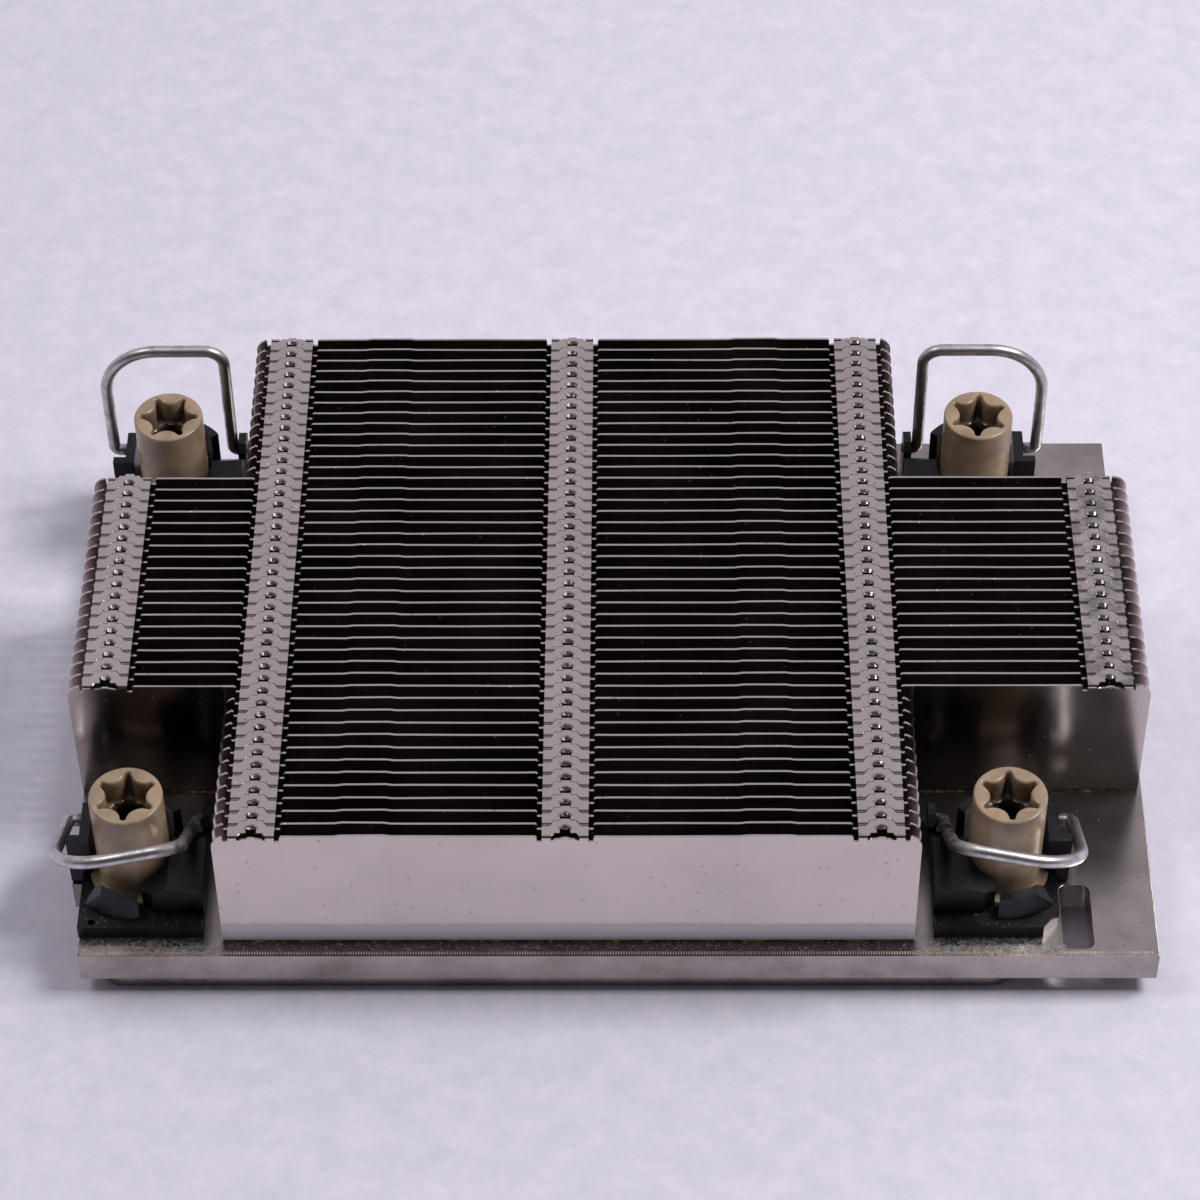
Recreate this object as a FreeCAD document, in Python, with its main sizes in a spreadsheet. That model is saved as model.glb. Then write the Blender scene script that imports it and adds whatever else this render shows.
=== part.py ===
"""Passive heatsink for a low server: a stack of thin zipper fins on a plated base, with four captive nuts.

Frame: millimetres, +Z up, z = 0 at the underside of the pedestal, x = y = 0 at the centre of the nut pattern
and of the fin pack. The front is -Y. Fins are counted from the rear, so fin_01 is the rearmost.
"""

import FreeCAD, Part
import math
import os

import Sketcher

# Driving dimensions: alias, value in mm (or degrees), meaning.
DIMENSIONS = (
    ("plate_left", -54.4, "plate, left edge"),
    ("plate_right", 63.6, "plate, right edge"),
    ("plate_front", -39.6, "plate, front edge"),
    ("plate_rear", 37.9, "plate, rear edge"),
    ("plate_gauge", 4.0, "plate, thickness"),
    ("front_notch_width", 1.5, "front left notch, across"),
    ("front_notch_depth", 9.8, "front left notch, front to back"),
    ("rear_cut_width", 15.9, "rear left cut-away, across"),
    ("rear_cut_depth", 3.6, "rear left cut-away, front to back"),
    ("pedestal_left", -51.3, "pedestal, left edge"),
    ("pedestal_right", 48.7, "pedestal, right edge"),
    ("pedestal_front", -38.9, "pedestal, front edge"),
    ("pedestal_rear", 34.0, "pedestal, rear edge"),
    ("pedestal_height", 2.2, "pedestal, height"),
    ("pedestal_corner", 2.8, "pedestal, corner radius"),
    ("slot_left", 53.35, "plate slot, left side"),
    ("slot_width", 3.3, "plate slot, width"),
    ("slot_front", -38.6, "plate slot, front end"),
    ("slot_length", 8.65, "plate slot, length"),
    ("slot_corner", 0.9, "plate slot, corner radius"),
    ("nut_across", 47.3, "nut axis from the centre, along X"),
    ("nut_along", 28.7, "nut axis from the centre, along Y"),
    ("stud_bore", 2.4, "clearance hole for a stud, radius"),
    ("fin_top", 24.0, "fin stack, top of the folds"),
    ("fin_gauge", 0.25, "fin sheet, thickness"),
    ("fin_pitch", 1.745, "fin to fin"),
    ("fin_front", -37.6, "foremost fin, front face"),
    ("pack_half", 37.3, "centre fins, half width"),
    ("wing_left", -54.4, "wing fins, left end"),
    ("wing_right", 63.1, "wing fins, right end"),
    ("fin_corner", 1.1, "fins, cut of the top corners"),
    ("fold_length", 1.7, "fin foot and tabs, length folded back"),
    ("strip_step", 33.05, "centre strip to side strip"),
    ("left_wing_strip", -50.26, "left wing strip, centre"),
    ("right_wing_strip", 58.65, "right wing strip, centre"),
    ("tab_width", 4.9, "zipper tab, width"),
    ("nut_top", 20.2, "nut, top above the datum"),
    ("nut_radius", 4.0, "nut, body radius"),
    ("flange_radius", 5.0, "nut flange, radius"),
    ("flange_gauge", 1.6, "nut flange, thickness"),
    ("flange_lift", 0.1, "nut flange, play above the plate"),
    ("thread_radius", 1.7, "nut thread, minor radius"),
    ("socket_radius", 3.2, "six-lobe socket, centre to point"),
    ("lobe_radius", 1.25, "six-lobe socket, lobe radius"),
    ("lobe_distance", 3.45, "six-lobe socket, centre to lobe centre"),
    ("socket_depth", 3.2, "six-lobe socket, depth"),
    ("base_inner", -7.9, "retainer base, side by the fins"),
    ("base_outer", 5.7, "retainer base, outer side"),
    ("base_front", 8.35, "retainer base, front"),
    ("base_rear", -4.2, "retainer base, rear"),
    ("base_gauge", 1.7, "retainer base, thickness"),
    ("base_hole", 5.2, "retainer, radius round the flange"),
    ("throat", 4.4, "retainer, radius round the nut body"),
    ("throat_start", 1.9, "retainer, height where the throat starts"),
    ("block_height", 5.7, "inner block, height"),
    ("block_rear", -0.9, "inner block, rear of its top"),
    ("block_front", 6.3, "inner block, front"),
    ("block_edge", -2.5, "inner block, start of its front corner"),
    ("block_corner", 0.8, "inner block, front corner, front to back"),
    ("block_tip", -1.3, "inner block, nearest to the nut's centre plane"),
    ("block_toe", 2.6, "inner block, height at the rear of its ramp"),
    ("facet_start", -4.2, "inner block, start of the top facet"),
    ("facet_height", 4.5, "inner block, low edge of the top facet"),
    ("ring_inner", 5.2, "ring wall, inner radius"),
    ("ring_outer", 6.2, "ring wall, outer radius"),
    ("ring_height", 7.5, "ring wall, height"),
    ("post_inner", 5.5, "front post, inner radius"),
    ("post_foot", 7.4, "front post, outer radius at its foot"),
    ("post_head", 6.6, "front post, outer radius at its top"),
    ("post_height", 4.3, "front post, height"),
    ("wall_inner", 4.6, "outer wall, inner face"),
    ("wall_height", 7.1, "outer wall, height"),
    ("wall_front", 0.8, "outer wall, front end"),
    ("lug_outer", 7.1, "outer lug, outer face"),
    ("lug_rear", -0.15, "outer lug, rear face"),
    ("lug_low", 0.3, "outer lug, underside"),
    ("ramp_outer", -4.2, "inner block, side of its ramp by the nut"),
    ("slope_start", 3.1, "front post, start of the slope at its outer end"),
    ("slope_end", 5.3, "front post, end of that slope"),
    ("slope_rear", 1.0, "front post, rear limit of that slope"),
    ("corner_cut_across", 1.8, "front right retainer, corner cut, across"),
    ("corner_cut_along", 2.3, "front right retainer, corner cut, front to back"),
    ("drain_across", 4.2, "front left retainer, small hole, across"),
    ("drain_along", 7.6, "front left retainer, small hole, front to back"),
    ("drain_radius", 0.4, "front left retainer, small hole, radius"),
    ("ear_gauge", 0.9, "inner ear, thickness"),
    ("ear_inner", -8.0, "inner ear, side by the fins"),
    ("boss_inner", 5.0, "outer boss, inner face"),
    ("boss_gauge", 1.2, "outer boss, thickness"),
    ("ear_front", 4.1, "ears, front behind the nut axis"),
    ("ear_margin", 1.65, "ears, hinge axis to their rear"),
    ("ear_height", 4.45, "ears, height"),
    ("ear_cut", 0.9, "ears, cut of the top corners"),
    ("hinge_rear", 6.05, "bail hinge behind the nut axis"),
    ("hinge_height", 2.4, "bail hinge above the plate"),
    ("hinge_play", 0.06, "bail hinge, radial play"),
    ("wire_radius", 0.7, "bail wire, radius"),
    ("bail_length", 16.25, "bail, hinge to cross bar"),
    ("bail_inner", -6.3, "bail, inner leg from the nut axis"),
    ("bail_outer", 7.9, "bail, outer leg from the nut axis"),
    ("stub_inner", -8.2, "bail, end of the inner stub"),
    ("stub_outer", 4.9, "bail, end of the outer stub"),
    ("stub_bend", 0.8, "bail, bend radius at the stubs"),
    ("inner_bend", 2.2, "bail, bend radius at the inner end of the bar"),
    ("outer_bend", 6.4, "bail, bend radius at the outer end of the bar"),
)

# Sectors round the nut: degrees from outward, through the front, and their span.
POST_SECTOR = (45, 53)
RING_SECTOR = (215, 40)

# How far each bail is tipped forward from upright: its inner leg and its outer leg, in degrees.
FRONT_TIP = (49.5, 58.5)
REAR_TIP = (0, 0)
SOCKET_TURN = {"front_left": 0, "front_right": 0, "rear_left": 30, "rear_right": -5}

FIN_COUNT = 44
FIRST_WIDE, LAST_WIDE = 14, 32      # the fins that carry the wings
RIGHT, LEFT = 1, -1
FRONT, REAR = -1, 1


class Size:
    """A length together with the spreadsheet expression that gives it."""

    def __init__(self, value, text=None):
        self.value = float(value)
        self.text = text or repr(float(value))

    def __add__(self, other):
        other = as_size(other)
        return Size(self.value + other.value, f"({self.text} + {other.text})")

    def __sub__(self, other):
        other = as_size(other)
        return Size(self.value - other.value, f"({self.text} - {other.text})")

    def __mul__(self, factor):
        return Size(self.value * factor, f"({self.text} * {factor!r})")

    def __neg__(self):
        return self * -1


def as_size(value):
    return value if isinstance(value, Size) else Size(value)


class Sizes:
    """The spreadsheet's cells, each read by its alias."""

    def __init__(self, doc):
        sheet = doc.addObject("Spreadsheet::Sheet", "dims")
        for row, (alias, value, meaning) in enumerate(DIMENSIONS, start=1):
            sheet.set(f"A{row}", meaning)
            sheet.set(f"B{row}", str(value))
            sheet.setAlias(f"B{row}", alias)
            setattr(self, alias, Size(value, f"dims.{alias}"))


def bind(item, path, size):
    item.setExpression(path, as_size(size).text)


# Sketches and features ------------------------------------------------------------------------------------


def new_sketch(body, name, role, lift=0):
    """A sketch on one of the body's own origin planes, lifted along that plane's normal."""
    plane = next(item for item in body.Origin.OriginFeatures if item.Role == role)
    sketch = body.newObject("Sketcher::SketchObject", name)
    sketch.AttachmentSupport = [(plane, "")]
    sketch.MapMode = "FlatFace"
    bind(sketch, "AttachmentOffset.Base.z", lift)
    return sketch


def constrain(sketch, rules):
    """Adds constraints; a rule is (kind, references, size), where size may be None."""
    made = []
    for kind, references, size in rules:
        values = references if size is None else (*references, as_size(size).value)
        made.append(Sketcher.Constraint(kind, *values))
    numbers = sketch.addConstraint(made)
    for number, (_, _, size) in zip(numbers, rules):
        if size is not None:
            bind(sketch, f"Constraints[{number}]", size)


def pinned(geometry, point, x, y):
    """Rules that hold one point of a geometry at (x, y)."""
    return [
        ("DistanceX", (-1, 1, geometry, point), x),
        ("DistanceY", (-1, 1, geometry, point), y),
    ]


def draw_outline(sketch, corners):
    """A closed outline of straight lines through the corners."""
    corners = [(as_size(x), as_size(y)) for x, y in corners]
    points = [FreeCAD.Vector(x.value, y.value, 0) for x, y in corners]
    first = sketch.GeometryCount
    sketch.addGeometry([Part.LineSegment(a, b) for a, b in zip(points, points[1:] + points[:1])])
    rules = []
    for index, (x, y) in enumerate(corners):
        previous = first + (index - 1) % len(corners)
        rules.append(("Coincident", (previous, 2, first + index, 1), None))
        rules += pinned(first + index, 1, x, y)
    constrain(sketch, rules)


def draw_box(sketch, left, right, low, high):
    draw_outline(sketch, [(left, low), (right, low), (right, high), (left, high)])


def draw_circle(sketch, x, y, radius):
    x, y, radius = as_size(x), as_size(y), as_size(radius)
    circle = Part.Circle(FreeCAD.Vector(x.value, y.value, 0), FreeCAD.Vector(0, 0, 1), radius.value)
    number = sketch.addGeometry(circle)
    constrain(sketch, pinned(number, 3, x, y) + [("Radius", (number,), radius)])


def pad(body, name, sketch, length, reverse=False):
    feature = body.newObject("PartDesign::Pad", name)
    feature.Profile = sketch
    feature.Reversed = reverse
    bind(feature, "Length", length)
    body.Tip = feature
    return feature


def pocket(body, name, sketch, depth, reverse=False):
    feature = body.newObject("PartDesign::Pocket", name)
    feature.Profile = sketch
    feature.Reversed = reverse
    bind(feature, "Length", depth)
    body.Tip = feature
    return feature


def round_edges(doc, body, name, radius, wanted):
    """Fillets the edges of the body's last feature for which wanted(edge) is true."""
    doc.recompute()
    base = body.Tip
    names = [f"Edge{number}" for number, edge in enumerate(base.Shape.Edges, start=1) if wanted(edge)]
    feature = body.newObject("PartDesign::Fillet", name)
    feature.Base = (base, names)
    bind(feature, "Radius", radius)
    body.Tip = feature


def upright(edge, low, high):
    """True for an edge that runs straight up between two heights."""
    box = edge.BoundBox
    flat = box.XLength < 1e-6 and box.YLength < 1e-6
    return flat and abs(box.ZMin - low) < 1e-6 and abs(box.ZMax - high) < 1e-6


# Base plate -----------------------------------------------------------------------------------------------


def make_base(doc, d):
    """Plate and pedestal in one piece, with its notches, the slot and the clearance holes of the nuts."""
    body = doc.addObject("PartDesign::Body", "base_plate")

    low = new_sketch(body, "pedestal_outline", "XY_Plane")
    draw_box(low, d.pedestal_left, d.pedestal_right, d.pedestal_front, d.pedestal_rear)
    pad(body, "pedestal", low, d.pedestal_height)
    height = d.pedestal_height.value
    round_edges(doc, body, "pedestal_corners", d.pedestal_corner, lambda edge: upright(edge, 0, height))

    outline = new_sketch(body, "plate_outline", "XY_Plane", d.pedestal_height)
    notch_x = d.plate_left + d.front_notch_width
    notch_y = d.plate_front + d.front_notch_depth
    cut_x = d.plate_left + d.rear_cut_width
    cut_y = d.plate_rear - d.rear_cut_depth
    draw_outline(outline, [
        (notch_x, d.plate_front),
        (d.plate_right, d.plate_front),
        (d.plate_right, d.plate_rear),
        (cut_x, d.plate_rear),
        (cut_x, cut_y),
        (d.plate_left, cut_y),
        (d.plate_left, notch_y),
        (notch_x, notch_y),
    ])
    pad(body, "plate", outline, d.plate_gauge)

    top = d.pedestal_height + d.plate_gauge
    slot = new_sketch(body, "slot_outline", "XY_Plane", top)
    draw_box(slot, d.slot_left, d.slot_left + d.slot_width, d.slot_front, d.slot_front + d.slot_length)
    pocket(body, "slot", slot, d.plate_gauge)
    inside = (d.slot_left.value, d.slot_left.value + d.slot_width.value)

    def slot_corner(edge):
        return upright(edge, height, top.value) and any(abs(edge.BoundBox.XMin - x) < 1e-6 for x in inside)

    round_edges(doc, body, "slot_corners", d.slot_corner, slot_corner)

    holes = new_sketch(body, "nut_holes", "XY_Plane", top)
    for side, end in corners():
        draw_circle(holes, d.nut_across * side, d.nut_along * end, d.stud_bore)
    pocket(body, "nut_bores", holes, top)
    return body


# Fins -----------------------------------------------------------------------------------------------------


def corners():
    """The four corners of the stack, each as (side, end)."""
    return [(side, end) for end in (FRONT, REAR) for side in (LEFT, RIGHT)]


def corner_name(side, end):
    return ("front_" if end == FRONT else "rear_") + ("left" if side == LEFT else "right")


def make_fin_pattern(doc, d, name, left, right, strips):
    """A fin with its front face at y = 0: a sheet with cut top corners, its foot folded back along the plate,
    and on each strip a tab folded back at the top that closes the gap to the next fin. The last fin, with
    nothing behind it, has neither."""
    body = doc.addObject("PartDesign::Body", name)
    foot_z = d.pedestal_height + d.plate_gauge
    cut = d.fin_corner
    sheet = new_sketch(body, name + "_outline", "XZ_Plane")
    draw_outline(sheet, [
        (left, foot_z),
        (right, foot_z),
        (right, d.fin_top - cut),
        (right - cut, d.fin_top),
        (left + cut, d.fin_top),
        (left, d.fin_top - cut),
    ])
    pad(body, name + "_sheet", sheet, d.fin_gauge, reverse=True)
    if strips:
        foot = new_sketch(body, name + "_foot_outline", "XY_Plane", foot_z)
        draw_box(foot, left, right, 0, d.fold_length)
        pad(body, name + "_foot", foot, d.fin_gauge)
        tabs = new_sketch(body, name + "_tab_outline", "XY_Plane", d.fin_top)
        half = d.tab_width * 0.5
        for centre in strips:
            draw_box(tabs, centre - half, centre + half, 0, d.fold_length)
        pad(body, name + "_tabs", tabs, d.fin_gauge, reverse=True)
    return body


def make_fins(doc, d):
    """The fins, each a clone of the pattern for its place in the stack."""
    centre = [-d.strip_step, as_size(0), d.strip_step]
    wings = [d.left_wing_strip, d.right_wing_strip]
    narrow, wide = (-d.pack_half, d.pack_half), (d.wing_left, d.wing_right)
    patterns = {
        "rear": make_fin_pattern(doc, d, "rear_pattern", *narrow, []),
        "narrow": make_fin_pattern(doc, d, "narrow_pattern", *narrow, centre),
        "wide_rear": make_fin_pattern(doc, d, "wide_rear_pattern", *wide, centre),
        "wide": make_fin_pattern(doc, d, "wide_pattern", *wide, centre + wings),
    }
    fins = []
    for number in range(1, FIN_COUNT + 1):
        if number == 1:
            kind = "rear"
        elif number == FIRST_WIDE:
            kind = "wide_rear"
        else:
            kind = "wide" if FIRST_WIDE < number <= LAST_WIDE else "narrow"
        fin = clone_body(doc, patterns[kind], f"fin_{number:02d}")
        bind(fin, "Placement.Base.y", d.fin_front + d.fin_pitch * (FIN_COUNT - number))
        fins.append(fin)
    return fins


def clone_body(doc, pattern, name):
    body = doc.addObject("PartDesign::Body", name)
    base = doc.addObject("PartDesign::FeatureBase", name + "_base")
    base.BaseFeature = pattern
    body.Group = [base]
    body.Tip = base
    return body


# Captive nuts ---------------------------------------------------------------------------------------------


def make_cylinder(doc, name, radius, low, height, x=0, y=0):
    item = doc.addObject("Part::Cylinder", name)
    bind(item, "Radius", radius)
    bind(item, "Height", height)
    bind(item, "Placement.Base.x", x)
    bind(item, "Placement.Base.y", y)
    bind(item, "Placement.Base.z", low)
    return item


def combine(doc, kind, name, items):
    """Part::MultiFuse of the items, or Part::Cut of the first by the second."""
    item = doc.addObject(kind, name)
    if kind == "Part::Cut":
        item.Base, item.Tool = items
    else:
        item.Shapes = items
    return item


def make_nut(doc, d, side, end):
    """A tall nut with a flange at its foot, a six-lobe socket in its top and a threaded bore between."""
    name = "nut_" + corner_name(side, end)
    seat = d.pedestal_height + d.plate_gauge + d.flange_lift
    solid = combine(doc, "Part::MultiFuse", name + "_solid", [
        make_cylinder(doc, name + "_flange", d.flange_radius, seat, d.flange_gauge),
        make_cylinder(doc, name + "_body", d.nut_radius, seat, d.nut_top - seat),
    ])
    floor = d.nut_top - d.socket_depth
    lobes = []
    for number in range(6):
        angle = math.radians(60 * number)
        x, y = d.lobe_distance * math.cos(angle), d.lobe_distance * math.sin(angle)
        lobes.append(make_cylinder(doc, f"{name}_lobe_{number}", d.lobe_radius, floor, d.socket_depth, x, y))
    recess = combine(doc, "Part::Cut", name + "_socket", [
        make_cylinder(doc, name + "_socket_blank", d.socket_radius, floor, d.socket_depth),
        combine(doc, "Part::MultiFuse", name + "_lobes", lobes),
    ])
    bore = make_cylinder(doc, name + "_bore", d.thread_radius, seat, floor - seat)
    hollow = combine(doc, "Part::MultiFuse", name + "_hollow", [recess, bore])
    nut = combine(doc, "Part::Cut", name, [solid, hollow])
    nut.Placement.Rotation = FreeCAD.Rotation(FreeCAD.Vector(0, 0, 1), SOCKET_TURN[corner_name(side, end)])
    bind(nut, "Placement.Base.x", d.nut_across * side)
    bind(nut, "Placement.Base.y", d.nut_along * end)
    return nut


# Retainers ------------------------------------------------------------------------------------------------
# Built about the nut axis on the plate: u runs outward, v forward (-Y) and heights up from the plate.


def add_slab(body, name, side, start, end, outline):
    """A pad along X from u = start to u = end, with its outline given as (y, height)."""
    sketch = new_sketch(body, name + "_outline", "YZ_Plane", start if side == RIGHT else -end)
    outline(sketch)
    return pad(body, name, sketch, end - start)


def add_sector(body, name, side, sector, profile):
    """A wall swept round the nut axis, with its profile given as (radius, height)."""
    start, span = sector
    turn = -(start + span) if side == RIGHT else 180 + start
    sketch = new_sketch(body, name + "_profile", "XZ_Plane")
    sketch.AttachmentOffset = FreeCAD.Placement(
        FreeCAD.Vector(), FreeCAD.Rotation(FreeCAD.Vector(0, 1, 0), turn)
    )
    draw_outline(sketch, profile)
    wall = body.newObject("PartDesign::Revolution", name)
    wall.Profile = sketch
    wall.ReferenceAxis = (sketch, ["V_Axis"])
    wall.Angle = span
    body.Tip = wall


def add_ear(body, d, name, side, start, gauge):
    """A hinge ear behind the base, with its two top corners cut, round the hinge axis."""
    front, rear = d.ear_front, d.hinge_rear + d.ear_margin
    outline = [
        (front, 0),
        (rear, 0),
        (rear, d.ear_height - d.ear_cut),
        (rear - d.ear_cut, d.ear_height),
        (front + d.ear_cut, d.ear_height),
        (front, d.ear_height - d.ear_cut),
    ]
    add_slab(body, name, side, start, start + gauge, lambda sketch: draw_outline(sketch, outline))


def make_retainer(doc, d, side, end):
    """The moulded clip round one nut, with its block, walls, front post and the two ears of the bail."""
    name = "retainer_" + corner_name(side, end)
    body = doc.addObject("PartDesign::Body", name)

    base = new_sketch(body, name + "_base_outline", "XY_Plane")
    inner, outer = d.base_inner * side, d.base_outer * side
    front, rear = -d.base_front, -d.base_rear
    corner = [(outer, front)]
    if (side, end) == (RIGHT, FRONT):
        corner = [(outer - d.corner_cut_across * side, front), (outer, front + d.corner_cut_along)]
    draw_outline(base, [(inner, rear), (inner, front)] + corner + [(outer, rear)])
    pad(body, name + "_base", base, d.base_gauge)

    block = new_sketch(body, name + "_block_outline", "XY_Plane")
    draw_outline(block, [
        (inner, -d.block_rear),
        (inner, -d.block_front),
        (d.block_edge * side, -d.block_front),
        (d.block_tip * side, d.block_corner - d.block_front),
        (d.block_tip * side, -d.throat),
        (d.ramp_outer * side, -d.block_rear),
    ])
    pad(body, name + "_block", block, d.block_height)
    facet = new_sketch(body, name + "_facet_outline", "XZ_Plane", d.block_front)
    draw_outline(facet, [
        (d.facet_start * side, d.block_height),
        (d.block_tip * side, d.facet_height),
        (d.block_tip * side, d.block_height),
    ])
    pocket(body, name + "_facet", facet, d.block_front + d.block_rear)

    def draw_ramp(sketch):
        draw_outline(sketch, [
            (-d.block_rear, 0),
            (-d.block_rear, d.block_height),
            (-d.base_rear, d.block_toe),
            (-d.base_rear, 0),
        ])

    add_slab(body, name + "_ramp", side, d.base_inner, d.ramp_outer, draw_ramp)

    low = d.base_gauge
    add_sector(body, name + "_ring", side, RING_SECTOR, [
        (d.ring_inner, 0), (d.ring_outer, 0), (d.ring_outer, d.ring_height), (d.ring_inner, d.ring_height),
    ])
    add_sector(body, name + "_post", side, POST_SECTOR, [
        (d.post_inner, low), (d.post_foot, low), (d.post_head, d.post_height), (d.post_inner, d.post_height),
    ])
    slope = new_sketch(body, name + "_slope_outline", "XZ_Plane", d.base_front)
    draw_outline(slope, [
        (d.slope_start * side, d.post_height),
        (d.slope_end * side, low),
        (d.slope_end * side, d.post_height),
    ])
    pocket(body, name + "_slope", slope, d.base_front - d.slope_rear)

    wall = new_sketch(body, name + "_wall_outline", "XY_Plane")
    draw_box(wall, d.wall_inner * side, outer, -d.wall_front, rear)
    pad(body, name + "_wall", wall, d.wall_height)
    lug = new_sketch(body, name + "_lug_outline", "XY_Plane", d.lug_low)
    draw_box(lug, outer, d.lug_outer * side, -d.wall_front, -d.lug_rear)
    pad(body, name + "_lug", lug, d.wall_height - d.lug_low)
    add_ear(body, d, name + "_ear", side, d.ear_inner, d.ear_gauge)
    add_ear(body, d, name + "_boss", side, d.boss_inner, d.boss_gauge)

    hole = new_sketch(body, name + "_flange_hole_outline", "XY_Plane", d.throat_start)
    draw_circle(hole, 0, 0, d.base_hole)
    pocket(body, name + "_flange_hole", hole, d.throat_start)
    throat = new_sketch(body, name + "_throat_outline", "XY_Plane", d.ring_height)
    draw_circle(throat, 0, 0, d.throat)
    pocket(body, name + "_throat", throat, d.ring_height)
    reach = d.boss_inner + d.boss_gauge
    hinge = new_sketch(body, name + "_hinge_outline", "YZ_Plane", reach if side == RIGHT else -d.ear_inner)
    draw_circle(hinge, d.hinge_rear, d.hinge_height, d.wire_radius + d.hinge_play)
    pocket(body, name + "_hinge_bore", hinge, reach - d.ear_inner)
    if (side, end) == (LEFT, FRONT):
        drain = new_sketch(body, name + "_drain_outline", "XY_Plane", d.base_gauge)
        draw_circle(drain, d.drain_across * side, -d.drain_along, d.drain_radius)
        pocket(body, name + "_drain", drain, d.base_gauge)

    place_on_plate(body, d, side, end)
    return body


def place_on_plate(item, d, side, end):
    bind(item, "Placement.Base.x", d.nut_across * side)
    bind(item, "Placement.Base.y", d.nut_along * end)
    bind(item, "Placement.Base.z", d.pedestal_height + d.plate_gauge)


# Bails ----------------------------------------------------------------------------------------------------


def bent_path(points, bends):
    """A wire of straight runs; each inner point gives way to a bend, given as (radius, number of mitres)."""
    path = [points[0]]
    for before, point, after, (radius, mitres) in zip(points, points[1:], points[2:], bends):
        back, ahead = (before - point).normalize(), (after - point).normalize()
        half = back.getAngle(ahead) / 2
        turn = math.pi - 2 * half
        centre = point + (back + ahead).normalize() * (radius / math.sin(half))
        enter = point + back * (radius / math.tan(half))
        reach = (enter - centre) * (1 / math.cos(turn / mitres / 2))
        axis = ahead.cross(back)
        for number in range(mitres):
            angle = math.degrees(turn * (number + 0.5) / mitres)
            path.append(centre + FreeCAD.Rotation(axis, angle).multVec(reach))
    path.append(points[-1])
    return Part.makePolygon(path)


def make_bail(doc, d, side, end):
    """The wire loop hinged behind one nut: two short stubs, two legs and the cross bar."""
    name = "bail_" + corner_name(side, end)
    inner_tip, outer_tip = FRONT_TIP if end == FRONT else REAR_TIP

    def at(u, tip=None):
        rise = 0 if tip is None else d.bail_length.value
        angle = math.radians(tip or 0)
        y = d.hinge_rear.value - rise * math.sin(angle)
        z = d.hinge_height.value + rise * math.cos(angle)
        return FreeCAD.Vector(u.value * side, y, z)

    points = [
        at(d.stub_inner),
        at(d.bail_inner),
        at(d.bail_inner, inner_tip),
        at(d.bail_outer, outer_tip),
        at(d.bail_outer),
        at(d.stub_outer),
    ]
    stub, inner, outer = (d.stub_bend.value, 1), (d.inner_bend.value, 2), (d.outer_bend.value, 3)
    path = doc.addObject("Part::Feature", name + "_path")
    path.Shape = bent_path(points, [stub, inner, outer, stub])
    section = doc.addObject("Part::Circle", name + "_section")
    bind(section, "Radius", d.wire_radius)
    section.Placement = FreeCAD.Placement(points[0], FreeCAD.Rotation(FreeCAD.Vector(0, 1, 0), 90))
    wire = doc.addObject("Part::Sweep", name)
    wire.Sections = [section]
    wire.Spine = (path, [f"Edge{number}" for number in range(1, len(path.Shape.Edges) + 1)])
    wire.Solid = True
    wire.Transition = "Right corner"
    place_on_plate(wire, d, side, end)
    return wire


def main():
    os.makedirs("parts", exist_ok=True)
    doc = FreeCAD.newDocument("heatsink")
    d = Sizes(doc)
    doc.recompute()
    nodes = [make_base(doc, d)] + make_fins(doc, d)
    for side, end in corners():
        nodes.append(make_retainer(doc, d, side, end))
        nodes.append(make_nut(doc, d, side, end))
        nodes.append(make_bail(doc, d, side, end))
    doc.recompute()
    broken = [item.Name for item in doc.Objects if {"Invalid", "Error"} & set(item.State)]
    broken += [node.Name for node in nodes if node.Shape.isNull() or not node.Shape.isValid()]
    if broken:
        raise RuntimeError("these objects failed: " + ", ".join(broken))
    for node in nodes:
        node.Label = node.Name
        node.Shape.exportStep(f"parts/{node.Label}.step")


main()
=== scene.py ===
# %% [markdown]
# # A low passive heatsink for a server processor
#
# The part is a nickel plated base with a stack of 44 thin folded fins, four tan
# captive nuts in black moulded retainers, and a hinged wire bail at each nut.
# Its plain shape comes from the CAD model, which this script loads as a fixed
# frame.  The cells below add what the CAD model leaves out: the zipper folds of
# the fins, round wires, softened edges, solder, and a finish for each material.
#
# Everything is in metres in the frame of the CAD model: +X to the right along
# the base, +Y to the back, +Z up, and z = 0 under the pedestal.

import math

import bmesh
import bpy
import numpy as np
from mathutils import Matrix, Vector


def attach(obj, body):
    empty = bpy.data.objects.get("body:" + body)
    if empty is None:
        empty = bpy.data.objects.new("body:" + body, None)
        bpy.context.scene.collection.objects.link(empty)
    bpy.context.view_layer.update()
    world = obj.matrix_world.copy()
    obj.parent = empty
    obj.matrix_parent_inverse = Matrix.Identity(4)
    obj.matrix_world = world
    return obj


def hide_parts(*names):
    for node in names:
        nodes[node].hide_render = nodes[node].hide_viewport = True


MM = 0.001

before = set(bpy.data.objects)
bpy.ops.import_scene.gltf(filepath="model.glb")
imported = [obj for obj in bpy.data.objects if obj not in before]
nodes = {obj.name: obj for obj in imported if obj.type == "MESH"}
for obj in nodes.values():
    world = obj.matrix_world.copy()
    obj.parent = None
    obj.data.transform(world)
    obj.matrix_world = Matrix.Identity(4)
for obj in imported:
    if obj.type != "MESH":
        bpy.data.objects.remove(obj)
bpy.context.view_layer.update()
FRAME_BODY = "heatsink"
CORNERS = ("front_left", "front_right", "rear_left", "rear_right")


# %% [markdown]
# ## Surfaces from arrays
#
# Each new piece is a grid of points worked out with numpy: rows run one way over
# the surface and columns the other.  A grid can be closed on itself, and cells
# can be left out to make a window or a notch.  One helper turns such a grid into
# a mesh, so that every later cell only has to say where the points are.

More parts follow.
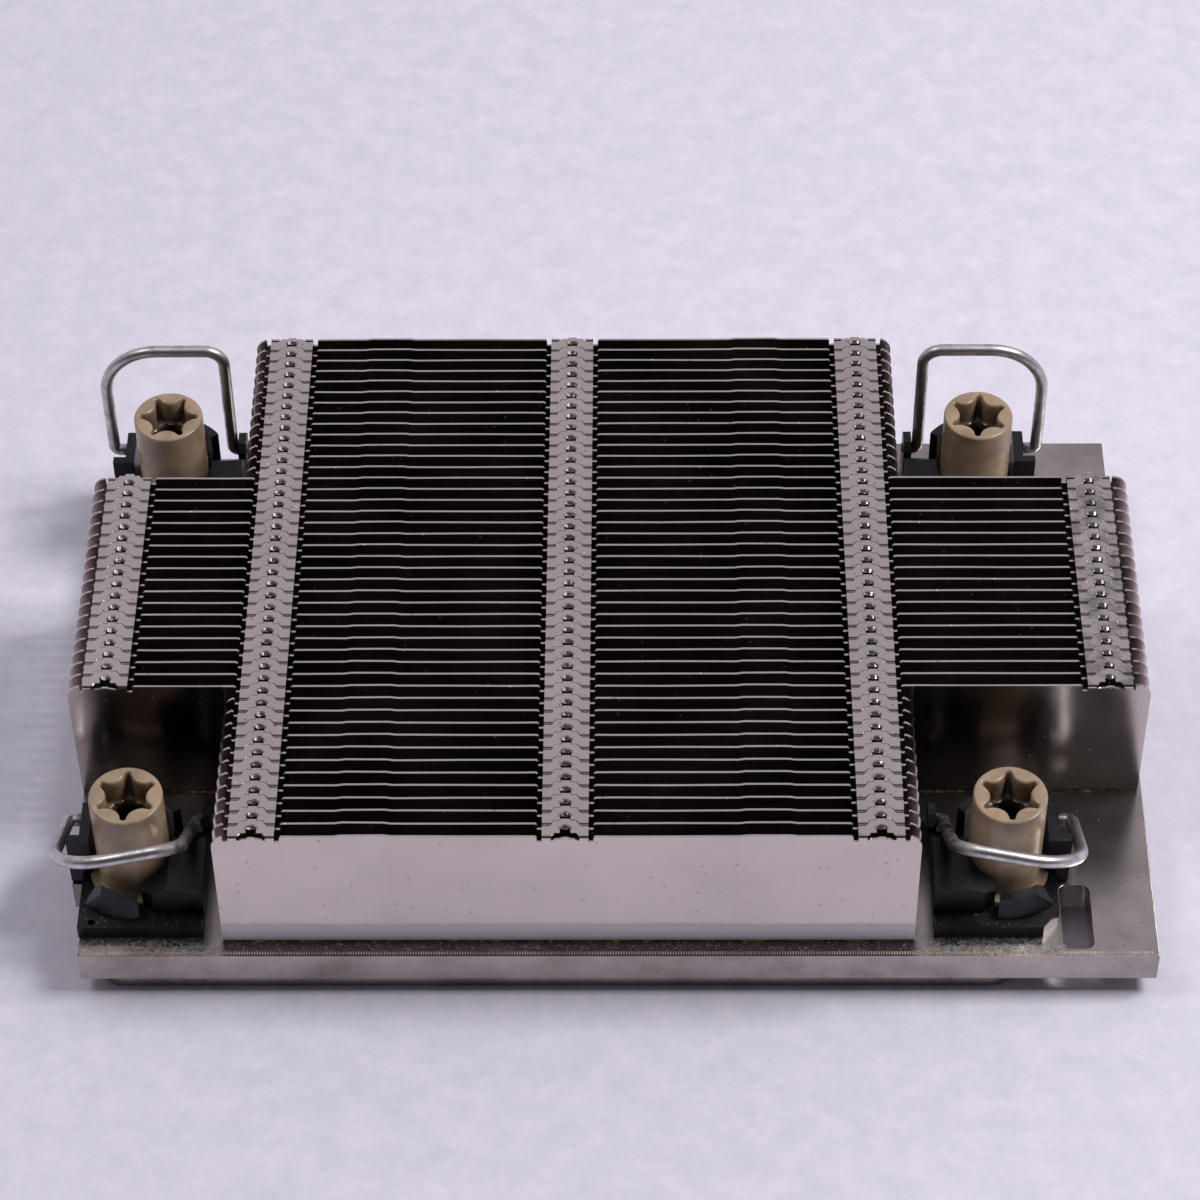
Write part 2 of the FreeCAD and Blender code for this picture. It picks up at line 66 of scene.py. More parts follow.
# %% Grid helpers
def grid_cells(rows, cols, close_rows=False, close_cols=False):
    """Corner numbers of each cell of a rows x cols grid, as a (cells down, cells across, 4) array."""
    i = np.arange(rows if close_rows else rows - 1)[:, None]
    j = np.arange(cols if close_cols else cols - 1)[None, :]
    below, right = (i + 1) % rows, (j + 1) % cols
    return np.stack([i * cols + j, i * cols + right, below * cols + right, below * cols + j], axis=-1)


def mesh_piece(name, points, cells, smooth=True):
    """A mesh object with these points, in millimetres, and these four-cornered cells.

    Unused points are dropped, and points that coincide, as at a pole, are welded.
    """
    points, cells = points.reshape(-1, 3), cells.reshape(-1, 4)
    used, cells = np.unique(cells, return_inverse=True)
    mesh = bpy.data.meshes.new(name)
    mesh.from_pydata((points[used] * MM).tolist(), [], cells.reshape(-1, 4).tolist())
    build = bmesh.new()
    build.from_mesh(mesh)
    bmesh.ops.remove_doubles(build, verts=build.verts, dist=1e-7)
    bmesh.ops.dissolve_degenerate(build, edges=build.edges, dist=1e-8)
    bmesh.ops.recalc_face_normals(build, faces=build.faces)
    build.to_mesh(mesh)
    build.free()
    mesh.polygons.foreach_set("use_smooth", np.full(len(mesh.polygons), smooth))
    piece = bpy.data.objects.new(name, mesh)
    bpy.context.scene.collection.objects.link(piece)
    return piece


def fit(piece, body, slot, material, *replaced):
    """Makes a piece ride on its body in place of the CAD nodes it replaces, in its finish."""
    piece.data.materials.clear()
    piece.data.materials.append(material)
    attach(piece, body)
    if replaced:
        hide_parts(*replaced)
    return piece


print("cells of a 3 x 4 grid:", grid_cells(3, 4).shape[:2], "closed:", grid_cells(3, 4, True, True).shape[:2])


# %% [markdown]
# ## Materials
#
# A material is a small net of nodes: patterns such as noise feed the colour,
# the roughness and the bump of one shader.  Colours are written as sRGB hex
# values, as a paint chart gives them, and turned to linear light here.

# %% Colours
def linear(code):
    """A "#rrggbb" colour in linear light: each channel c becomes ((c + 0.055) / 1.055) ^ 2.4."""
    srgb = np.array([int(code[i : i + 2], 16) for i in (1, 3, 5)]) / 255
    light = np.where(srgb <= 0.04045, srgb / 12.92, ((srgb + 0.055) / 1.055) ** 2.4)
    return (*light, 1.0)


def grey(value):
    """A factor, already linear, as a colour that darkens another one."""
    return (value, value, value, 1)


print("mid grey in linear light:", round(float(linear("#808080")[0]), 3))


# %% Nodes
TIMES, SIZE, BELOW, ABOVE, MOST = (
    {"operation": name} for name in ("MULTIPLY", "ABSOLUTE", "LESS_THAN", "GREATER_THAN", "MAXIMUM")
)
BLENDED = {"data_type": "RGBA"}
TINTED = {"data_type": "RGBA", "blend_type": "MULTIPLY"}
SMOOTH = {"interpolation_type": "SMOOTHSTEP"}


def feed(material, socket, value):
    """Gives a socket a value, a "#rrggbb" colour, another node's output, or a node's first output in use."""
    if isinstance(value, bpy.types.Node):
        value = next(output for output in value.outputs if output.enabled)
    if isinstance(value, bpy.types.NodeSocket):
        material.node_tree.links.new(value, socket)
    else:
        socket.default_value = linear(value) if isinstance(value, str) else value


def add_node(material, kind, settings=None, **inputs):
    """Adds a node.

    settings are its properties, or a colour ramp's steps as (position, colour) pairs.  inputs are its
    sockets, by name or as i0, i1 and so on, and feed() says what each can be given.  A Mix node takes
    its share as i0, two values as i2 and i3, and two colours as i6 and i7.
    """
    node = material.node_tree.nodes.new("ShaderNode" + kind)
    for key, value in (settings or {}).items():
        if key != "steps":
            setattr(node, key, value)
            continue
        elements = node.color_ramp.elements
        while len(elements) < len(value):
            elements.new(1.0)
        for element, (position, colour) in zip(elements, value):
            element.position = position
            element.color = linear(colour) if isinstance(colour, str) else colour
    for key, value in inputs.items():
        numbered = key[0] == "i" and key[1:].isdigit()
        feed(material, node.inputs[int(key[1:]) if numbered else key.replace("_", " ")], value)
    return node


def wire_up(material, shader, **inputs):
    """Feeds the shader's sockets of these names."""
    for key, value in inputs.items():
        feed(material, shader.inputs[key.replace("_", " ")], value)


def new_material(name, **values):
    """A material with one Principled shader, set to these values, as (material, shader, coordinates)."""
    material = bpy.data.materials.new(name)
    material.use_nodes = True
    shader = material.node_tree.nodes["Principled BSDF"]
    wire_up(material, shader, **values)
    place = add_node(material, "TexCoord").outputs["Object"]
    return material, shader, place


def clouded(name, size, low, high, detail=2.0, **values):
    """A material whose colour clouds over this size, in metres, between two (position, colour) steps."""
    material, shader, place = new_material(name, **values)
    tone = add_node(material, "TexNoise", Vector=place, Scale=1 / size, Detail=detail)
    wire_up(material, shader, Base_Color=add_node(material, "ValToRGB", {"steps": [low, high]}, Fac=tone))
    return material


print("shader settings:", [list(settings.values()) for settings in (TIMES, SIZE, BELOW, ABOVE, MOST)])


# %% [markdown]
# ## Nickel plating
#
# The fins are stamped from thin sheet and plated with nickel.  Plating gives a
# warm grey metal that mirrors its surroundings softly.  Rolled sheet keeps a fine
# grain, and handling leaves dark specks and faint smudges, so the colour and the
# roughness both follow noise whose cells are fractions of a millimetre.
#
# A metal that was only ever clean would look newer than the real part, so masks
# add what use leaves on it: dust motes all over, and blots on the one strip that
# hands touch.  Other masks paint light and shade into the colour: painted light,
# a pale sheen, at the foot of the front fin, painted shade on the front faces of
# the wings, and painted shade on the creased lips where the punch went through.
# A mask is a number from 0 to 1 at each point, made by comparing the point's
# place with the sizes below, and the same masks could be painted by hand, but
# then they would not follow a change of size.

# %% Sizes of the fin stack, in millimetres
FIN_COUNT = 44
FIRST_WIDE, LAST_WIDE = 14, 32
PITCH = 1.745
STACK_FRONT = -37.6
WIDE_FRONT = STACK_FRONT + PITCH * (FIN_COUNT - LAST_WIDE)
NARROW = (-37.3, 37.3)
WIDE = (-54.4, 63.1)
CENTRE_STRIPS = (-33.05, -0.1, 33.05)
WING_STRIPS = (-50.26, 58.65)
FOOT_Z, TOP_Z = 6.2, 24.0
print("depth of the fin stack:", PITCH * FIN_COUNT, "mm, wings from y", round(WIDE_FRONT, 2))


# %% Dust on metal, and painted light laid the same way
def add_motes(material, place, spacing, radius, share):
    """A mask of dust motes: in a share of the cells this far apart, a round dot of this radius, in metres."""
    cell = add_node(material, "TexVoronoi", Vector=place, Scale=1 / spacing)
    pick = add_node(material, "SeparateColor", Color=cell.outputs["Color"])
    chosen = add_node(material, "Math", BELOW, i0=pick.outputs["Red"], i1=share)
    dot = add_node(
        material, "MapRange", Value=cell,
        From_Min=radius / spacing, From_Max=0.5 * radius / spacing,
    )
    return add_node(material, "Math", TIMES, i0=dot, i1=chosen)


def lay_dust_and_painted_light(material, shader, mask, colour, rough, pale="#b9b4b4"):
    """Lays pale dust over a metal where the mask is 1, in its own colour with no mirror and no gloss; on the
    fins the mask also holds painted light.
    """
    dusty = add_node(material, "Mix", BLENDED, i0=mask, i6=colour, i7=pale)
    metal = add_node(material, "MapRange", Value=mask, To_Min=1.0, To_Max=0.0)
    dull = add_node(material, "Mix", i0=mask, i2=rough, i3=0.8)
    wire_up(material, shader, Base_Color=dusty, Metallic=metal, Roughness=dull)


MOTE_GAP, MOTE_RADIUS, MOTE_SHARE = 1.3, 0.09, 0.35
print("metal under motes:", round(MOTE_SHARE * math.pi * (MOTE_RADIUS / MOTE_GAP) ** 2 * 100, 2), "per cent")


# %% Marks of making and use on the fins, and painted light and shade
def foot_painted_light(material, split):
    """The mask of painted light, a pale sheen painted on the lowest 3 mm of the front fin."""
    low = add_node(
        material, "MapRange", SMOOTH, Value=split.outputs["Z"],
        From_Min=9.6 * MM, From_Max=8.4 * MM,
    )
    first = add_node(material, "Math", BELOW, i0=split.outputs["Y"], i1=(STACK_FRONT + 0.2) * MM)
    return add_node(material, "Math", TIMES, i0=low, i1=first)


def wing_painted_shade(material, split):
    """The mask of painted shade on the front faces of the wings, a dark reflection painted on, which thins
    out towards their ends.
    """
    side = add_node(material, "Math", SIZE, i0=split.outputs["X"])
    wing = add_node(material, "Math", ABOVE, i0=side, i1=(NARROW[1] + 0.1) * MM)
    front = add_node(material, "Math", BELOW, i0=split.outputs["Y"], i1=(WIDE_FRONT + 0.04) * MM)
    cover = add_node(
        material, "MapRange", SMOOTH, Value=side,
        From_Min=47.5 * MM, From_Max=53.5 * MM, To_Min=0.85, To_Max=0.0,
    )
    face = add_node(material, "Math", TIMES, i0=wing, i1=front)
    return add_node(material, "Math", TIMES, i0=face, i1=cover)


def tongue_zone(material, split):
    """The mask that is 1 along the middle of every strip of tabs, where the punch has creased the sheet."""
    nearest = None
    for middle in sorted(CENTRE_STRIPS + WING_STRIPS):
        shift = add_node(
            material, "Math", {"operation": "SUBTRACT"}, i0=split.outputs["X"], i1=middle * MM,
        )
        gap = add_node(material, "Math", SIZE, i0=shift)
        if nearest is not None:
            gap = add_node(material, "Math", {"operation": "MINIMUM"}, i0=nearest, i1=gap)
        nearest = gap
    across = add_node(
        material, "MapRange", SMOOTH, Value=nearest,
        From_Min=0.4 * MM, From_Max=0.9 * MM, To_Min=1.0, To_Max=0.0,
    )
    top = add_node(material, "Math", ABOVE, i0=split.outputs["Z"], i1=(TOP_Z - 0.4) * MM)
    return add_node(material, "Math", TIMES, i0=across, i1=top)


def lip_painted_shade(material, split, zone):
    """The mask of painted shade on the creased lips in that zone: from 0.56 to 0.9 of the way from each fin
    to the next.
    """
    count = add_node(
        material, "MapRange", {"clamp": False}, Value=split.outputs["Y"],
        From_Min=STACK_FRONT * MM, From_Max=(STACK_FRONT + PITCH) * MM,
    )
    depth = add_node(material, "Math", {"operation": "FRACT"}, i0=count)
    rise = add_node(material, "MapRange", SMOOTH, Value=depth, From_Min=0.56, From_Max=0.64)
    fall = add_node(
        material, "MapRange", SMOOTH, Value=depth, From_Min=0.78, From_Max=0.9, To_Min=0.8, To_Max=0.0,
    )
    lip = add_node(material, "Math", TIMES, i0=rise, i1=fall)
    return add_node(material, "Math", TIMES, i0=lip, i1=zone)


def handled_blots(material, place, split):
    """The mask of the blots, 3 mm across, on top of the strip at the right wing's end."""
    right = add_node(material, "Math", ABOVE, i0=split.outputs["X"], i1=(WING_STRIPS[1] - 3.25) * MM)
    above = add_node(material, "Math", ABOVE, i0=split.outputs["Z"], i1=(TOP_Z - 0.2) * MM)
    handled = add_node(material, "Math", TIMES, i0=right, i1=above)
    cloud = add_node(material, "TexNoise", Vector=place, Scale=1 / (3 * MM), Detail=5.0, Roughness=0.7)
    blot = add_node(
        material, "MapRange", SMOOTH, Value=cloud, From_Min=0.42, From_Max=0.62, To_Min=0.0, To_Max=0.6,
    )
    return add_node(material, "Math", TIMES, i0=handled, i1=blot)


# the dark film on the wings' faces is painted shade, a dark reflection painted into their colour
print("creased strips at x:", sorted(CENTRE_STRIPS + WING_STRIPS), "grease ahead of y:", round(WIDE_FRONT, 2))


# %% Nickel of the fins
def nickel_sheet():
    """Nickel plated rolled sheet, which gives a soft warm grey mirror.

    Its grain is 0.35 mm, its smudges 12 mm, dark specks lie 1.7 mm and dust motes 1.3 mm apart.
    """
    material, shader, place = new_material("nickel_plated_sheet")
    smudge = add_node(material, "TexNoise", Vector=place, Scale=1 / (12 * MM), Detail=4.0, Roughness=0.55)
    grain = add_node(material, "TexNoise", Vector=place, Scale=1 / (0.35 * MM))
    dot = add_node(material, "TexVoronoi", Vector=place, Scale=1 / (1.7 * MM))
    tint = add_node(material, "ValToRGB", {"steps": [(0.3, "#c8bebb"), (0.75, "#d6ccc8")]}, Fac=smudge)
    speck = add_node(material, "ValToRGB", {"steps": [(0.05, grey(0.35)), (0.11, grey(1))]}, Fac=dot)
    mixed = add_node(material, "Mix", TINTED, i0=0.7, i6=tint, i7=speck)
    rough = add_node(
        material, "MapRange", Value=smudge, From_Min=0.3, From_Max=0.7, To_Min=0.14, To_Max=0.22,
    )
    bump = add_node(material, "Bump", Height=grain, Strength=0.2, Distance=0.003 * MM)

    motes = add_motes(material, place, MOTE_GAP * MM, MOTE_RADIUS * MM, MOTE_SHARE)
    split = add_node(material, "SeparateXYZ", Vector=place)
    # this mask holds dust motes and also painted light: a pale sheen painted on the foot of the front fin
    dust = add_node(material, "Math", MOST, i0=motes, i1=foot_painted_light(material, split))
    # painted shade: the wings' front faces are darkened to #3a3233 where this mask is 1
    wing_shaded = add_node(material, "Mix", BLENDED, i0=wing_painted_shade(material, split), i6=mixed, i7="#3a3233")
    zone = tongue_zone(material, split)
    crease = add_node(material, "TexNoise", Vector=place, Scale=1 / (0.7 * MM), Detail=1.0)
    ridge = add_node(material, "Math", TIMES, i0=crease, i1=zone)
    lips = lip_painted_shade(material, split, zone)
    # painted shade: the lips are darkened to #4a4244, a dark reflection painted into their colour
    shaded_lips = add_node(material, "Mix", BLENDED, i0=lips, i6=wing_shaded, i7="#4a4244")
    punched = add_node(material, "Bump", Height=ridge, Normal=bump, Strength=1.0, Distance=0.07 * MM)
    blots = handled_blots(material, place, split)
    stained = add_node(material, "Mix", BLENDED, i0=blots, i6=shaded_lips, i7="#6d6769")
    lay_dust_and_painted_light(material, shader, dust, stained, rough, "#efe8ec")
    wire_up(material, shader, Normal=punched)
    return material


fin_nickel = nickel_sheet()
print("material:", fin_nickel.name, "nodes:", len(fin_nickel.node_tree.nodes))


# %% [markdown]
# ## The fins
#
# Each fin is a strip of sheet 0.25 mm thick with a foot folded back along its
# bottom edge and narrow tabs folded back along its top edge.  The tabs form the
# light strips across the stack.  A tab ends in a tongue that drops into the window
# of the fin behind it, which is how the stack zips together.
#
# Fifty booleans a fin would do it, but the real part is a flat blank that is
# punched and then folded, and a grid does the same: rows run up the sheet, over
# the fold and along the tab, columns run across it, and cells inside a window or
# a notch are left out.  Solidify then gives the sheet its thickness.

# %% The fin's rows, from foot to tongue
SHEET = 0.25
BEND = 0.23                       # bend radius at the middle of the sheet
HALF_SHEET = SHEET / 2
WINDOW_FOOT = 23.42
NOTCH_FOOT = 23.13

FOLD = np.radians([0, 22.5, 45, 67.5, 90])
web_z = np.array([9.0, 13.0, 17.5, 21.0, 22.4, 22.8, NOTCH_FOOT])
tab_y = np.array([0.59, 0.90, 1.22, 1.45, 1.70])
tongue_y = PITCH + np.array([0.12, 0.30, 0.53, 0.75, 0.86, 0.93])

foot_rows = np.stack([np.array([1.7, 0.95]), np.full(2, FOOT_Z + HALF_SHEET)], 1)
foot_bend = np.stack([
    HALF_SHEET + BEND - BEND * np.sin(FOLD), FOOT_Z + HALF_SHEET + BEND - BEND * np.cos(FOLD)
], 1)
web_rows = np.stack([np.full(len(web_z), HALF_SHEET), web_z], 1)
top_bend = np.stack([
    HALF_SHEET + BEND - BEND * np.cos(FOLD), TOP_Z - HALF_SHEET - BEND + BEND * np.sin(FOLD)
], 1)
neck_rows = np.array([[HALF_SHEET, 23.25], [HALF_SHEET, WINDOW_FOOT]])
tab_rows = np.stack([tab_y, np.full(len(tab_y), TOP_Z - HALF_SHEET)], 1)
tongue_rows = np.stack([tongue_y, np.full(len(tongue_y), TOP_Z - HALF_SHEET)], 1)
strip_rows = np.concatenate([foot_rows, foot_bend, web_rows, neck_rows, top_bend, tab_rows, tongue_rows])

FOOT_ROWS = 2
NOTCH_ROW = FOOT_ROWS + len(FOLD) + len(web_z) - 1
WINDOW_ROW = NOTCH_ROW + 2
SHOULDER_ROW = WINDOW_ROW + len(FOLD) + 1
TAIL_ROW = SHOULDER_ROW + 2
TAB_END_ROW = TAIL_ROW + 2
TONGUE_SHOULDER_ROW = TAB_END_ROW + 3
LAST_ROW = len(strip_rows) - 1
EDGE_Z = np.array([23.35, 23.6, 23.8, 23.93, TOP_Z])
EDGE_ROW = NOTCH_ROW + len(EDGE_Z)
print("rows of a fin:", len(strip_rows), "notch", NOTCH_ROW, "window", WINDOW_ROW, "tail", TAIL_ROW)


# %% The fin's columns, across its width
TAB_HALF = 2.45
NOTCH_HALF = 2.98
WINDOW_HALF = 1.52
WAIST_HALF = 1.17
TAIL_HALF = 0.56
GAP = 0.055                       # clearance between a tongue and its window
LIMB_CUT = 1.66                   # outside this the tab's rear edge stops short of the next fin
tab_columns = np.array([-TAB_HALF, -LIMB_CUT, -WINDOW_HALF, -TAIL_HALF, -0.38, -0.19, 0.0,
                        0.19, 0.38, TAIL_HALF, WINDOW_HALF, LIMB_CUT, TAB_HALF])
RIBS = ((-24.0, -18.8), (18.6, 23.9))     # stiffening ribs pressed rearwards


def window_half(row):
    """Half width of the window, or of the tongue that fills it, at a row of the grid."""
    y = strip_rows[row, 0]
    closing = np.interp(y, [0.12, 0.59], [WINDOW_HALF, WAIST_HALF])
    tongue = np.interp(y - PITCH, [0.0, 0.53], [WINDOW_HALF, WAIST_HALF]) - GAP
    neck = np.where(row < WINDOW_ROW + 1, WINDOW_HALF, closing)
    tab = np.interp(y, [0.59, 1.22, 1.70], [WAIST_HALF, WAIST_HALF, WINDOW_HALF - GAP])
    return np.where(row < SHOULDER_ROW, neck, np.where(row < TAB_END_ROW, tab, tongue))


def fin_columns(left, right, strips):
    """Column positions over a fin's width: the strips' own lines, the ribs' edges and a few between."""
    lines = [left, right]
    slit = TAB_HALF + 0.06                          # towards the end of a wing there is a slit, not a notch
    for centre in strips:
        inner = centre - (slit if centre == WING_STRIPS[0] else NOTCH_HALF)
        outer = centre + (slit if centre == WING_STRIPS[1] else NOTCH_HALF)
        lines += [inner - 0.2, inner, *(centre + tab_columns), outer, outer + 0.2]
    for start, end in RIBS:
        lines += [start - 0.35, start + 0.35, end - 0.35, end + 0.35]
    for x in np.arange(left + 4.0, right - 3.0, 5.5):
        if all(abs(x - centre) > NOTCH_HALF + 1.0 for centre in strips):
            lines.append(x)
    return np.unique(np.round(lines, 4))


print("columns of a narrow fin:", len(fin_columns(*NARROW, CENTRE_STRIPS)))
print("columns of a wide one:", len(fin_columns(*WIDE, CENTRE_STRIPS + WING_STRIPS)))


# %% The plain sheet of a fin
CORNER = 1.6                      # radius of the upper corners


def plain_sheet(columns, has_foot):
    """The grid of a fin before its tabs are folded, as (x, y, z, kept cells).

    A point lies at (column, y(row), z(row)) up to the notches, and from there the top edge stands
    straight up.  At a height d into an upper corner the end is drawn in by r - sqrt(r^2 - d^2).
    """
    x = np.repeat(columns[None, :], len(strip_rows), 0)
    y = np.repeat(strip_rows[:, 0:1], len(columns), 1)
    z = np.repeat(strip_rows[:, 1:2], len(columns), 1)
    y[NOTCH_ROW:] = HALF_SHEET
    z[NOTCH_ROW + 1 : EDGE_ROW + 1] = EDGE_Z[:, None]
    keep = np.zeros((len(strip_rows) - 1, len(columns) - 1), bool)
    keep[0 if has_foot else FOOT_ROWS : EDGE_ROW] = True
    drop = np.clip(z - (TOP_Z - CORNER), 0, CORNER)
    inset = CORNER - np.sqrt(np.maximum(CORNER**2 - drop**2, 0))
    limit = np.abs(columns[[1, -2]] - columns[[0, -1]]) - 0.02
    x[:, 0] += np.minimum(inset[:, 0], limit[0])
    x[:, -1] -= np.minimum(inset[:, -1], limit[1])
    return x, y, z, keep


print("cells kept of a plain narrow fin:", plain_sheet(fin_columns(*NARROW, CENTRE_STRIPS), True)[3].sum())


# %% A strip of tabs
ROWS = np.arange(len(strip_rows))
TAPER = np.interp(ROWS, [TAB_END_ROW, TONGUE_SHOULDER_ROW, LAST_ROW - 1, LAST_ROW], [1.0, 0.9, 0.86, 0.62])
DOME = np.interp(strip_rows[:, 0], [1.22, 1.45, 1.75], [0.0, 0.16, 0.0]) * (ROWS >= TAIL_ROW)
DIVE = np.interp(strip_rows[:, 0] - PITCH, [0.53, 0.75, 0.86, 0.93], [0.0, 0.03, 0.09, 0.16])


def strip_places(columns, centre):
    """Each column's place from the strip's middle, and each cell's distance from it."""
    return columns - centre, np.abs((columns[1:] + columns[:-1]) / 2 - centre)


def cut_strip(sheet, columns, centre):
    """Cuts a strip's notches and gives its rows their places.

    A point on the window's edge moves to x = centre +- window_half(row), and one nearer the middle to
    x = centre + local * taper(row), which narrows the tongue towards its tip.
    """
    x, y, z, keep = sheet
    local, offset = strip_places(columns, centre)
    inside = np.abs(local) < TAB_HALF + 0.01
    on_window = np.abs(np.abs(local) - WINDOW_HALF) < 0.01
    on_core = np.abs(local) < TAIL_HALF + 0.01
    beside = np.abs(np.abs(local) - NOTCH_HALF) < 0.01
    y[NOTCH_ROW:, inside] = strip_rows[NOTCH_ROW:, 0:1]
    z[NOTCH_ROW:, inside] = strip_rows[NOTCH_ROW:, 1:2]
    x[:, on_window] = centre + np.sign(local[on_window]) * window_half(ROWS)[:, None]
    x[:, on_core] = centre + local[on_core] * TAPER[:, None]
    z[EDGE_ROW, beside] -= 0.17
    z[EDGE_ROW - 1, beside] -= 0.12
    keep[NOTCH_ROW:, offset < NOTCH_HALF] = False
    keep[NOTCH_ROW:WINDOW_ROW, offset < TAB_HALF] = True


def fold_tab(sheet, columns, centre, dips):
    """Folds a strip's limbs back into a tab and lets its tongue run on into the window behind.

    In the middle the tab is raised by dome(row) * (1 - |u|^4), with u from -1 to 1 across it, flat on
    top and steep at its sides, and its edge comes forward by 0.2 cos(pi u / 2).  The tongue goes down
    by dive(row) where it dips, and the window's foot rises by 0.36 cos^2 in its middle.
    """
    _, y, z, keep = sheet
    local, offset = strip_places(columns, centre)
    keep[WINDOW_ROW:TAB_END_ROW, (offset > WINDOW_HALF) & (offset < TAB_HALF)] = True
    keep[SHOULDER_ROW:TONGUE_SHOULDER_ROW, (offset > TAIL_HALF) & (offset < WINDOW_HALF)] = True
    keep[TAIL_ROW:LAST_ROW, offset < TAIL_HALF] = True
    limb_end = (np.abs(local) > LIMB_CUT - 0.01) & (np.abs(local) < TAB_HALF + 0.01)
    y[TAB_END_ROW, limb_end] -= 0.2
    on_core = np.abs(local) < TAIL_HALF + 0.01
    core = local[on_core]
    crown = 1 - np.minimum(np.abs(core) / TAIL_HALF, 1) ** 4
    z[:, on_core] += DOME[:, None] * crown[None, :]
    y[TAIL_ROW, on_core] += 0.07 - 0.2 * np.cos(core / TAIL_HALF * math.pi / 2)
    if dips:
        z[:, on_core] -= DIVE[:, None]
    z[WINDOW_ROW, on_core] += 0.36 * np.cos(core / 1.3 * math.pi / 2) ** 2


def leave_flat(sheet, columns, centre):
    """A strip without a tab: its limbs end at the top edge, beside a window that is open at the top."""
    _, y, z, keep = sheet
    local, offset = strip_places(columns, centre)
    inside = np.abs(local) < TAB_HALF + 0.01
    keep[WINDOW_ROW:EDGE_ROW, (offset > WINDOW_HALF) & (offset < TAB_HALF)] = True
    z[WINDOW_ROW : EDGE_ROW + 1, inside] = np.array([WINDOW_FOOT, *EDGE_Z[2:]])[:, None]
    y[WINDOW_ROW : EDGE_ROW + 1, inside] = HALF_SHEET


print("dome of a tab:", DOME.max(), "mm, dive of its tongue:", DIVE.max(), "mm")


# %% One fin
rng = np.random.default_rng(7)
RIB_DEPTH = 0.12
WAVES = ((0.03, 46.0), (0.02, 17.0))      # height and length of each wave in the sheet


def lean(x, z, strips):
    """How far the sheet leans back from flat, fading towards the foot as height^1.2.

    Ribs add a trapezium of depth 0.12, and the slight waves of thin sheet add a sin(2 pi (x / l + p))
    with a random p, calmed beside each strip.
    """
    height = np.clip((z - 9.0) / 13.0, 0, 1) ** 1.2
    rib = sum(
        np.clip((x - start + 0.35) / 0.7, 0, 1) * np.clip((end + 0.35 - x) / 0.7, 0, 1) for start, end in RIBS
    )
    wave = sum(
        amount * np.sin(2 * math.pi * (x / length + phase))
        for (amount, length), phase in zip(WAVES, rng.random(2))
    )
    calm = np.ones_like(x)
    for centre in strips:
        calm *= np.clip((np.abs(x - centre) - NOTCH_HALF) / 3.0, 0, 1)
    return height * (RIB_DEPTH * rib + wave * calm)


def fin_surface(number):
    """Points and kept cells of one fin: a sheet, its strips, and its lean, at its place in the stack.

    The rearmost fin has no foot and no tabs, the next one has trimmed tongues that don't dip, and the
    rearmost wide fin has no tabs on its wings.
    """
    wide = FIRST_WIDE <= number <= LAST_WIDE
    strips = CENTRE_STRIPS + (WING_STRIPS if wide else ())
    folded = () if number == 1 else (CENTRE_STRIPS if number == FIRST_WIDE else strips)
    columns = fin_columns(*(WIDE if wide else NARROW), strips)
    sheet = plain_sheet(columns, has_foot=number > 1)
    for centre in strips:
        cut_strip(sheet, columns, centre)
        if centre in folded:
            fold_tab(sheet, columns, centre, dips=number > 2)
        else:
            leave_flat(sheet, columns, centre)
    x, y, z, keep = sheet
    if number == 2:
        y = np.where(y > PITCH, PITCH + (y - PITCH) * 0.48, y)
    front = STACK_FRONT + PITCH * (FIN_COUNT - number)
    return np.stack([x, y + lean(x, z, strips) + front, z], -1), keep


def make_fin(number):
    """One fin as a piece: its surface, given the thickness of the sheet."""
    points, keep = fin_surface(number)
    cells = grid_cells(*points.shape[:2])[keep]
    piece = mesh_piece(f"zip_fin_{number:02d}", points, cells, smooth=False)
    thick = piece.modifiers.new("sheet", "SOLIDIFY")
    thick.thickness = SHEET * MM
    thick.offset = 0
    return fit(piece, FRAME_BODY, "fin", fin_nickel, f"fin_{number:02d}")


fins = [make_fin(number) for number in range(1, FIN_COUNT + 1)]
print("fins:", len(fins), "faces of one:", len(fins[-1].data.polygons))


# %% [markdown]
# ## The wire bails
#
# Each bail is one length of drawn stainless wire 1.4 mm across, bent into a loop:
# two short stubs that turn in the retainer, two legs and a cross bar.  A curve
# with a bevel would do, but a profile carried along a path keeps the section
# round in every bend: the path is straight runs joined by true arcs.

# %% Wire along a path
WIRE = 0.7


def rounded_path(points, radii, step=9.0):
    """Points of straight runs joined by arcs.

    At a corner with half angle h the arc of radius r starts r / tan(h) before the corner and is swept
    about a centre r / sin(h) along the bisector, with a point every 9 degrees.
    """
    points = [np.asarray(p, float) for p in points]
    path = [points[0]]
    for before, corner, after, radius in zip(points, points[1:], points[2:], radii):
        back = (before - corner) / np.linalg.norm(before - corner)
        ahead = (after - corner) / np.linalg.norm(after - corner)
        half = np.arccos(np.clip(back @ ahead, -1, 1)) / 2
        turn = math.pi - 2 * half
        bisector = (back + ahead) / np.linalg.norm(back + ahead)
        centre = corner + bisector * radius / math.sin(half)
        start = corner + back * radius / math.tan(half) - centre
        side = -back * radius
        count = max(3, int(math.degrees(turn) / step))
        angles = np.linspace(0, turn, count + 1)[:, None]
        path += list(centre + start * np.cos(angles) + side * np.sin(angles))
    path.append(points[-1])
    return np.array(path)


